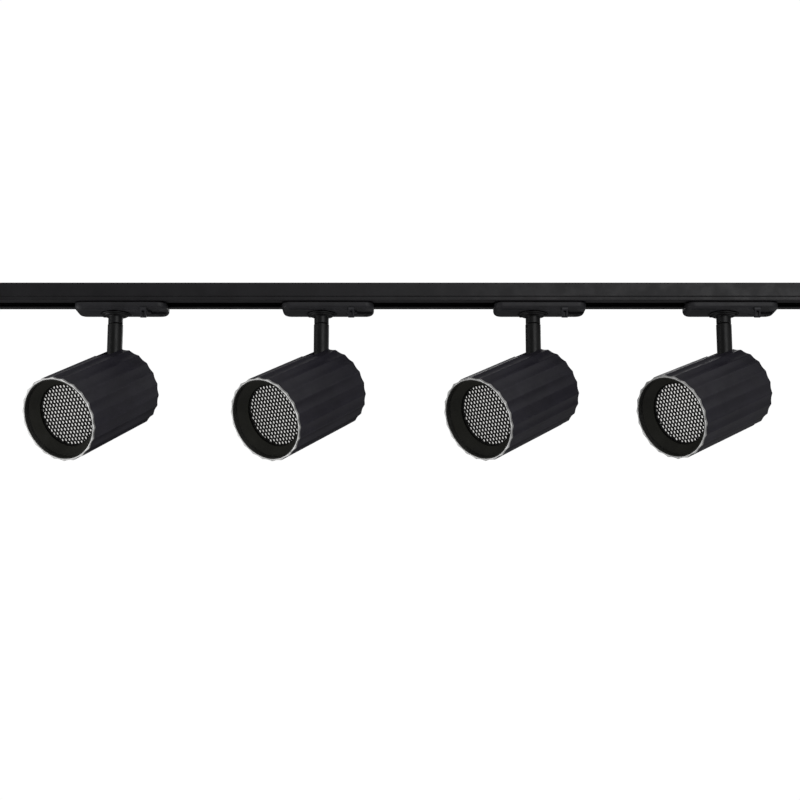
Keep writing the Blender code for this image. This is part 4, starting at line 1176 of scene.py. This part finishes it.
def build_housings(sizes):
    """A fluted cup with a dished rear face, ears for the pin, and the slot that the stem swings in."""
    count = sizes.flutes * sizes.flute_points
    long = RING_FRONT - HOUSING_REAR
    bore = RING_INNER - sizes.shoulder_step
    shoulder = BAFFLE_REAR - TOUCH_GAP
    floor = HOUSING_REAR + sizes.rear_wall
    dish = HOUSING_REAR + sizes.rear_dish

    def ridge(height, inset=0.0):
        shrink = sizes.draft * (RING_FRONT - height) / long
        return at_height(fluted(RING_OUTER - shrink, sizes, inset), height)

    def ring(radius, height):
        return at_height(circle(radius, count), height)

    rings = [[(0.0, 0.0, dish)], ring(sizes.rear_dish_radius, dish)]
    rings.append(ring(sizes.rear_dish_radius + sizes.rear_dish, HOUSING_REAR))
    for inset, height in arc_insets(sizes.rear_fillet, sizes.rear_fillet, 6):
        rings.append(ridge(HOUSING_REAR + height, inset))
    rings.append(ridge(HOUSING_FRONT - FRONT_CHAMFER))
    rings.append(ridge(HOUSING_FRONT, FRONT_CHAMFER))
    rings += [ring(RING_INNER, HOUSING_FRONT), ring(RING_INNER, shoulder)]
    rings += [ring(bore, shoulder), ring(bore, floor), [(0.0, 0.0, floor)]]
    cup = skin("housing", rings)
    edge = STEM_RADIUS + SWING_GAP
    outer = edge + sizes.ear
    ears = []
    half = sizes.ear_half_height
    root = floor - OVERLAP
    corners = [(-half, root, 0), (half, root, 0)]
    corners += [(half, sizes.ear_reach, EAR_CORNER), (-half, sizes.ear_reach, EAR_CORNER)]
    for sign in (-1, 1):
        low, high = sorted((sign * edge, sign * outer))
        ears.append(prism("ear", rounded(corners), low, high, Z_TO_X))
    cup = join(cup, *ears)
    reach = outer + BEYOND
    pin_hole = prism("pin_hole", circle(PIN_RADIUS + TOUCH_GAP, TINY_ROUND), -reach, reach, Z_TO_X)
    behind = HOUSING_REAR - BEYOND
    above = RING_OUTER + BEYOND
    side = arc(edge, 0, 180) + [(-edge, behind), (edge, behind)]
    side = prism("side_slot", [(x, -z) for x, z in side], 0.0, above, Z_TO_Y)
    rear = arc(edge, 180, 360) + [(edge, above), (-edge, above)]
    rear = prism("rear_slot", rear, behind, floor + TOUCH_GAP)
    body = cut(cup, pin_hole, side, rear)
    show_each("housing_*", body, ["head"], "head_*", head_space, "painted_black", "head_housing_*")


def build_rings(sizes):
    """The bare scalloped ring at the front, chamfered outside and inside."""
    count = sizes.flutes * sizes.flute_points
    chamfer = sizes.ring_chamfer
    rings = []
    for inset, height in arc_insets(chamfer, chamfer, 3):
        rings.append(at_height(fluted(RING_OUTER, sizes, inset), RING_FRONT - height))
    rings.append(at_height(fluted(RING_OUTER, sizes), RING_REAR))
    rings.append(at_height(circle(RING_INNER, count), RING_REAR))
    for inset, height in reversed(arc_insets(chamfer, chamfer, 3)):
        rings.append(at_height(circle(RING_INNER + inset, count), RING_FRONT - height))
    body = skin("ring", rings, wrap=True)
    show_each("bright_ring_*", body, ["bright"], "head_*", head_space, "bright_aluminium", "front_ring_*")


def build_baffles(sizes):
    """A thin front lip, a cone, the sleeve round the louvre and a flange on the shoulder."""
    lip_end = BAFFLE_FRONT - sizes.lip
    cone_end = RING_FRONT - sizes.cone_depth
    seat = cone_end - sizes.rear_lip
    sleeve = LOUVRE_RADIUS + TOUCH_GAP
    flange = BAFFLE_REAR + sizes.flange
    corners = [
        (BAFFLE_OUTER - sizes.lip_wall, BAFFLE_FRONT, 0.0002),
        (BAFFLE_OUTER, BAFFLE_FRONT, 0.0002),
        (BAFFLE_OUTER, lip_end, 0.0004),
        (sleeve + sizes.sleeve_wall, seat, 0.0003),
        (sleeve + sizes.sleeve_wall, flange, 0),
        (BAFFLE_OUTER, flange, 0.0002),
        (BAFFLE_OUTER, BAFFLE_REAR, 0.0002),
        (sleeve, BAFFLE_REAR, 0),
        (sleeve, seat, 0),
        (BAFFLE_OPENING, seat, 0),
        (BAFFLE_OPENING, cone_end, 0.0002),
        (BAFFLE_OUTER - sizes.lip_wall, lip_end, 0.0003),
    ]
    body = turned("baffle", corners, LARGE_ROUND)
    inside = BAFFLE_OUTER - sizes.lip_wall + TOUCH_GAP / 3
    for face in body.polygons:
        face.material_index = int(face.center.z > lip_end - TOUCH_GAP and face.center.xy.length < inside)
    show_each("baffle_*_cone", body, ["baffle", "lip"], "head_*", head_space, "baffle_black", "baffle_*")


def hexagon(centre, apothem):
    """Six corners with two sides upright."""
    reach = apothem / math.cos(math.pi / 6)
    turns = [math.radians(30 + 60 * step) for step in range(6)]
    return [(centre[0] + reach * math.cos(turn), centre[1] + reach * math.sin(turn)) for turn in turns]


def cell_centres(pitch, reach):
    row_height = pitch * math.sqrt(3) / 2
    rows = math.ceil(reach / row_height)
    columns = math.ceil(reach / pitch) + 1
    for row in range(-rows, rows + 1):
        for column in range(-columns, columns + 1):
            centre = (pitch * (column + (row % 2) / 2), row_height * row)
            if math.hypot(*centre) < reach:
                yield centre


def honeycomb_sheet(pitch, wall, low, high, reach):
    """A sheet of six-sided cells whose walls meet, open from front to rear."""
    vertices = []
    faces = []
    known = {}

    def vertex(x, y, z):
        key = (round(x, 7), round(y, 7), round(z, 7))
        if key not in known:
            known[key] = len(vertices)
            vertices.append((x, y, z))
        return known[key]

    centres = list(cell_centres(pitch, reach))
    shared = {}
    for centre in centres:
        outer = hexagon(centre, pitch / 2)
        inner = hexagon(centre, (pitch - wall) / 2)
        for step in range(6):
            after = (step + 1) % 6
            corners = (outer[step], outer[after], inner[after], inner[step])
            faces.append([vertex(*corner, high) for corner in corners])
            faces.append([vertex(*corner, low) for corner in reversed(corners)])
            side = (vertex(*inner[step], low), vertex(*inner[after], low))
            faces.append([side[0], side[1], vertex(*inner[after], high), vertex(*inner[step], high)])
            rim = (vertex(*outer[step], low), vertex(*outer[after], low))
            key = tuple(sorted(rim))
            shared.setdefault(key, []).append((outer[step], outer[after]))
    for ends in shared.values():
        if len(ends) == 1:
            one, other = ends[0]
            faces.append([vertex(*one, low), vertex(*other, low), vertex(*other, high), vertex(*one, high)])
    mesh = bpy.data.meshes.new("cells")
    mesh.from_pydata(vertices, [], faces)
    return outward(mesh)


CELLS_SUNK = 0.0002
FRAME_GAP = 0.0001


def build_louvres(sizes):
    """Hexagonal cells in a round frame, with a frosted disc behind them."""
    low = LOUVRE_FRONT - sizes.cell_depth
    inner = LOUVRE_RADIUS - sizes.frame_width
    high = LOUVRE_FRONT - CELLS_SUNK
    cells = honeycomb_sheet(sizes.cell_pitch, sizes.cell_wall, low, high, LOUVRE_RADIUS + OVERLAP)
    disc = prism("disc", circle(inner + TOUCH_GAP, ROUND), low - OVERLAP, LOUVRE_FRONT + OVERLAP)
    glass_front = LOUVRE_REAR + sizes.diffuser
    corners = [
        (inner, glass_front + FRAME_GAP, 0),
        (LOUVRE_RADIUS, glass_front + FRAME_GAP, 0.0001),
        (LOUVRE_RADIUS, LOUVRE_FRONT, 0.0002),
        (inner, LOUVRE_FRONT, 0.0002),
    ]
    body = join(carve(cells, ("INTERSECT", disc)), turned("frame", corners))
    corners = [
        (0, LOUVRE_REAR, 0),
        (LOUVRE_RADIUS, LOUVRE_REAR, 0.0002),
        (LOUVRE_RADIUS, glass_front, 0.0002),
        (0, glass_front, 0),
    ]
    glass = turned("diffuser", corners)
    show_each("louvre_*", body, ["louvre"], "head_*", head_space, "louvre_black", "honeycomb_*")
    show_each("diffuser_*", glass, ["frosted"], "head_*", head_space, "lamp_white")


# --- lamp, holder and pin


GLASS_STEP = 0.0004
GLASS_DIP = 0.0010
GLASS_RIM = 0.0012


def build_lamps(sizes):
    """A reflector lamp with a rimmed front glass, a neck and two pins."""
    base = HOLDER_FRONT + TOUCH_GAP
    taper = base + sizes.neck
    rim = LAMP_FRONT - sizes.rim
    middle = (LAMP_RADIUS + sizes.neck_radius) / 2 + sizes.bulge
    corners = [
        (0, base, 0),
        (sizes.neck_radius - 0.0015, base, 0.0004),
        (sizes.neck_radius, base + 0.0033, 0.001),
        (sizes.neck_radius, taper, 0.004),
        (middle, (rim + taper) / 2, 0.01),
        (LAMP_RADIUS, rim, 0.002),
        (LAMP_RADIUS, LAMP_FRONT - 0.0006, 0.0003),
        (LAMP_RADIUS - GLASS_RIM, LAMP_FRONT - GLASS_STEP, 0),
        (LAMP_RADIUS - GLASS_RIM - GLASS_DIP, LAMP_FRONT - GLASS_DIP, 0),
        (0, LAMP_FRONT, 0),
    ]
    pins = []
    for side in (-1, 1):
        outline = circle(sizes.pin_radius, PIN_ROUND, (side * sizes.pin_pitch / 2, 0.0))
        pins.append(prism("pin", outline, LAMP_REAR, base + OVERLAP))
    body = join(turned("lamp", corners), *pins)
    show_each("reflector_lamp_*", body, ["lamp"], "head_*", head_space, "lamp_white", "lamp_*")


def pin_space(number):
    """At the tilt axis, with Z along the pin."""
    return head_space(number) @ Z_TO_X


def build_holders(sizes):
    """The lamp's ceramic holder, and the steel pin that the head tilts on."""
    corners = [
        (0, HOLDER_REAR, 0),
        (HOLDER_RADIUS, HOLDER_REAR, 0.0006),
        (HOLDER_RADIUS, HOLDER_FRONT, 0.0006),
        (0, HOLDER_FRONT, 0),
    ]
    sockets = []
    for side in (-1, 1):
        outline = circle(sizes.pin_radius + TOUCH_GAP, PIN_ROUND, (side * sizes.pin_pitch / 2, 0.0))
        sockets.append(prism("socket", outline, LAMP_REAR - TOUCH_GAP, HOLDER_FRONT + BEYOND))
    body = cut(turned("holder", corners, SMALL_ROUND), *sockets)
    show_each("ceramic_holder_*", body, ["ceramic"], "head_*", head_space, "ceramic", "lamp_holder_*")
    corners = [
        (0, -PIN_REACH, 0),
        (PIN_RADIUS, -PIN_REACH, 0.0003),
        (PIN_RADIUS, PIN_REACH, 0.0003),
        (0, PIN_REACH, 0),
    ]
    pin = turned("pin", corners, SMALL_ROUND)
    show_each("pivot_pin_*", pin, ["steel"], "head_*", pin_space, "steel", "tilt_pin_*")


# --- stage


def floor_finish(settings):
    """Pale and partly lit from within, fading into the bright backdrop towards its edge."""
    finish, tree, shader = new_finish("stage_floor", 0.9)
    place = put(tree, "ShaderNodeTexCoord").outputs["Object"]
    distance = put(tree, "ShaderNodeVectorMath", {0: place}, operation="LENGTH").outputs["Value"]
    clouds = effect(tree, "clouding", size=0.8)
    tone = mixed(tree, clouds, (0.80, 0.80, 0.80, 1.0), (0.82, 0.82, 0.82, 1.0))
    tree.links.new(tone, shader.inputs["Base Color"])
    backdrop = put(tree, "ShaderNodeEmission", {"Color": (1.0, 1.0, 1.0, 1.0), "Strength": 1.02})
    end = settings.floor_reach * 0.5
    amount = ranged(tree, distance, settings.floor_fade, end, settings.floor_glow, 1.0, True)
    blend = put(tree, "ShaderNodeMixShader", {0: amount})
    tree.links.new(shader.outputs[0], blend.inputs[1])
    tree.links.new(backdrop.outputs[0], blend.inputs[2])
    tree.links.new(blend.outputs[0], tree.nodes["Material Output"].inputs["Surface"])
    return finish


def build_floor(settings):
    """A round floor that only the camera sees, so that the object's light stays soft."""
    rings = [[(0.0, 0.0, 0.0)]]
    for part in range(1, 7):
        rings.append(at_height(circle(settings.floor_reach * part / 6, 64), 0.0))
    mesh = skin("floor", rings)
    mesh.materials.append(floor_finish(settings))
    floor = bpy.data.objects.new("floor", mesh)
    bpy.context.scene.collection.objects.link(floor)
    floor.location.z = settings.floor_height
    floor.visible_diffuse = False
    floor.visible_glossy = False


# where each soft box stands, what it faces, and its size
SOFT_BOXES = {
    "side": ((-1.9, -0.3, -0.52), (0.0, -0.1, -0.12), (1.5, 1.5)),
    "front": ((1.1, -2.5, 0.65), (0.3, 0.0, -0.02), (1.8, 0.9)),
    "back": ((0.6, 2.3, 0.8), (0.0, 0.0, -0.08), (1.8, 0.9)),
}


def soft_light(name, place, aim, size, power):
    """A large rectangular lamp that faces a point."""
    data = bpy.data.lights.new(name, "AREA")
    data.shape = "RECTANGLE"
    data.size = size[0]
    data.size_y = size[1]
    data.energy = power
    lamp = bpy.data.objects.new(name, data)
    bpy.context.scene.collection.objects.link(lamp)
    lamp.location = place
    lamp.rotation_euler = (Vector(aim) - Vector(place)).to_track_quat("-Z", "Y").to_euler()
    lamp.visible_camera = False


def build_surround(settings):
    """A white backdrop for the camera, and a dimmer light for the object, mostly from above."""
    world = bpy.data.worlds.new("studio")
    world.use_nodes = True
    tree = world.node_tree
    tree.nodes.clear()
    seen = put(tree, "ShaderNodeBackground", {"Color": (1.0, 1.0, 1.0, 1.0), "Strength": 1.02})
    direction = put(tree, "ShaderNodeSeparateXYZ", {0: put(tree, "ShaderNodeTexCoord").outputs["Generated"]})
    height = direction.outputs["Z"]
    sky = ranged(tree, height, -0.05, 0.60, 0.008, settings.above, True)
    ground = ranged(tree, height, -0.20, -0.80, 0.0, settings.below, True)
    wall = ranged(tree, direction.outputs["X"], 0.25, 0.75, 0.0, settings.right, True)
    strength = compute(tree, "ADD", compute(tree, "ADD", sky, ground), wall)
    lit = put(tree, "ShaderNodeBackground", {"Color": (1.0, 1.0, 1.0, 1.0), "Strength": strength})
    path = put(tree, "ShaderNodeLightPath")
    blend = put(tree, "ShaderNodeMixShader", {0: path.outputs["Is Camera Ray"]})
    tree.links.new(lit.outputs[0], blend.inputs[1])
    tree.links.new(seen.outputs[0], blend.inputs[2])
    output = put(tree, "ShaderNodeOutputWorld")
    tree.links.new(blend.outputs[0], output.inputs["Surface"])
    bpy.context.scene.world = world
    bpy.context.scene.view_settings.view_transform = "Standard"


def build_camera(settings):
    data = bpy.data.cameras.new("camera")
    data.lens = settings.lens
    data.clip_start = 0.05
    data.clip_end = 60.0
    camera = bpy.data.objects.new("camera", data)
    bpy.context.scene.collection.objects.link(camera)
    pitch = settings.pitch
    back = Vector((0.0, -math.cos(pitch), -math.sin(pitch)))
    camera.location = Vector((0.0, 0.0, settings.aim_height)) + back * settings.distance
    camera.rotation_euler = (math.pi / 2 + pitch, 0.0, 0.0)
    bpy.context.scene.camera = camera


# --- operators


class TRACK_OT_rail(bpy.types.Operator):
    """Builds the rail and gives what lies inside it its finishes"""

    bl_idname = "track.rail"
    bl_label = "Rail"
    bl_options = {"REGISTER", "UNDO"}

    def execute(self, context):
        build_rail(context.scene.track_rail)
        for side in ("front", "rear"):
            refinish(f"liner_{side}", "liner")
            refinish(f"conductor_{side}", "copper")
        return {"FINISHED"}


class TRACK_OT_ends(bpy.types.Operator):
    """Builds the end cap and the power feed"""

    bl_idname = "track.ends"
    bl_label = "End cap and power feed"
    bl_options = {"REGISTER", "UNDO"}

    def execute(self, context):
        build_end_cap(context.scene.track_rail)
        build_feed(context.scene.track_rail)
        return {"FINISHED"}


class TRACK_OT_adapters(bpy.types.Operator):
    """Builds the four adapters"""

    bl_idname = "track.adapters"
    bl_label = "Adapters"
    bl_options = {"REGISTER", "UNDO"}

    def execute(self, context):
        build_adapters(context.scene.track_adapter)
        return {"FINISHED"}


class TRACK_OT_levers(bpy.types.Operator):
    """Builds the four locking levers"""

    bl_idname = "track.levers"
    bl_label = "Levers"
    bl_options = {"REGISTER", "UNDO"}

    def execute(self, context):
        build_levers(context.scene.track_adapter)
        return {"FINISHED"}


class TRACK_OT_stems(bpy.types.Operator):
    """Builds the sockets under the adapters and the stems that turn in them"""

    bl_idname = "track.stems"
    bl_label = "Stems"
    bl_options = {"REGISTER", "UNDO"}

    def execute(self, context):
        build_sockets(context.scene.track_stem)
        build_stems(context.scene.track_stem)
        return {"FINISHED"}


class TRACK_OT_housings(bpy.types.Operator):
    """Builds the four fluted housings"""

    bl_idname = "track.housings"
    bl_label = "Housings"
    bl_options = {"REGISTER", "UNDO"}

    def execute(self, context):
        build_housings(context.scene.track_head)
        return {"FINISHED"}


class TRACK_OT_rings(bpy.types.Operator):
    """Builds the four bright front rings"""

    bl_idname = "track.rings"
    bl_label = "Front rings"
    bl_options = {"REGISTER", "UNDO"}

    def execute(self, context):
        build_rings(context.scene.track_head)
        return {"FINISHED"}


class TRACK_OT_baffles(bpy.types.Operator):
    """Builds the four black baffles"""

    bl_idname = "track.baffles"
    bl_label = "Baffles"
    bl_options = {"REGISTER", "UNDO"}

    def execute(self, context):
        build_baffles(context.scene.track_optic)
        return {"FINISHED"}


class TRACK_OT_louvres(bpy.types.Operator):
    """Builds the four honeycomb louvres and their frosted discs"""

    bl_idname = "track.louvres"
    bl_label = "Honeycomb louvres"
    bl_options = {"REGISTER", "UNDO"}

    def execute(self, context):
        build_louvres(context.scene.track_optic)
        return {"FINISHED"}


class TRACK_OT_lamps(bpy.types.Operator):
    """Builds the lamps, their holders and the tilt pins"""

    bl_idname = "track.lamps"
    bl_label = "Lamps and holders"
    bl_options = {"REGISTER", "UNDO"}

    def execute(self, context):
        build_lamps(context.scene.track_lamp)
        build_holders(context.scene.track_lamp)
        return {"FINISHED"}


class TRACK_OT_stage(bpy.types.Operator):
    """Builds the floor, the lights and the camera"""

    bl_idname = "track.stage"
    bl_label = "Stage"
    bl_options = {"REGISTER", "UNDO"}

    def execute(self, context):
        settings = context.scene.track_stage
        build_floor(settings)
        build_surround(settings)
        build_camera(settings)
        for name, (place, aim, size) in SOFT_BOXES.items():
            soft_light(f"{name}_light", place, aim, size, getattr(settings, name))
        return {"FINISHED"}


OPERATORS = (
    TRACK_OT_rail,
    TRACK_OT_ends,
    TRACK_OT_adapters,
    TRACK_OT_levers,
    TRACK_OT_stems,
    TRACK_OT_housings,
    TRACK_OT_rings,
    TRACK_OT_baffles,
    TRACK_OT_louvres,
    TRACK_OT_lamps,
    TRACK_OT_stage,
)


class TRACK_PT_panel(bpy.types.Panel):
    """Every step of the build, and the sizes and colours that it uses"""

    bl_label = "Track lighting fixture"
    bl_space_type = "VIEW_3D"
    bl_region_type = "UI"
    bl_category = "Track light"

    def draw(self, context):
        for operator in OPERATORS:
            self.layout.operator(operator.bl_idname)
        for key in SETTINGS:
            settings = getattr(context.scene, key)
            column = self.layout.column(align=True)
            column.label(text=key.replace("_", " ").capitalize())
            for name in settings.__annotations__:
                column.prop(settings, name)


def register():
    for key, group in SETTINGS.items():
        bpy.utils.register_class(group)
        setattr(bpy.types.Scene, key, PointerProperty(type=group))
    for operator in OPERATORS:
        bpy.utils.register_class(operator)
    bpy.utils.register_class(TRACK_PT_panel)


def unregister():
    bpy.utils.unregister_class(TRACK_PT_panel)
    for operator in reversed(OPERATORS):
        bpy.utils.unregister_class(operator)
    for key, group in reversed(SETTINGS.items()):
        delattr(bpy.types.Scene, key)
        bpy.utils.unregister_class(group)


def main():
    register()
    for operator in OPERATORS:
        name = operator.bl_idname.split(".")[1]
        getattr(bpy.ops.track, name)()


if __name__ == "__main__":
    main()
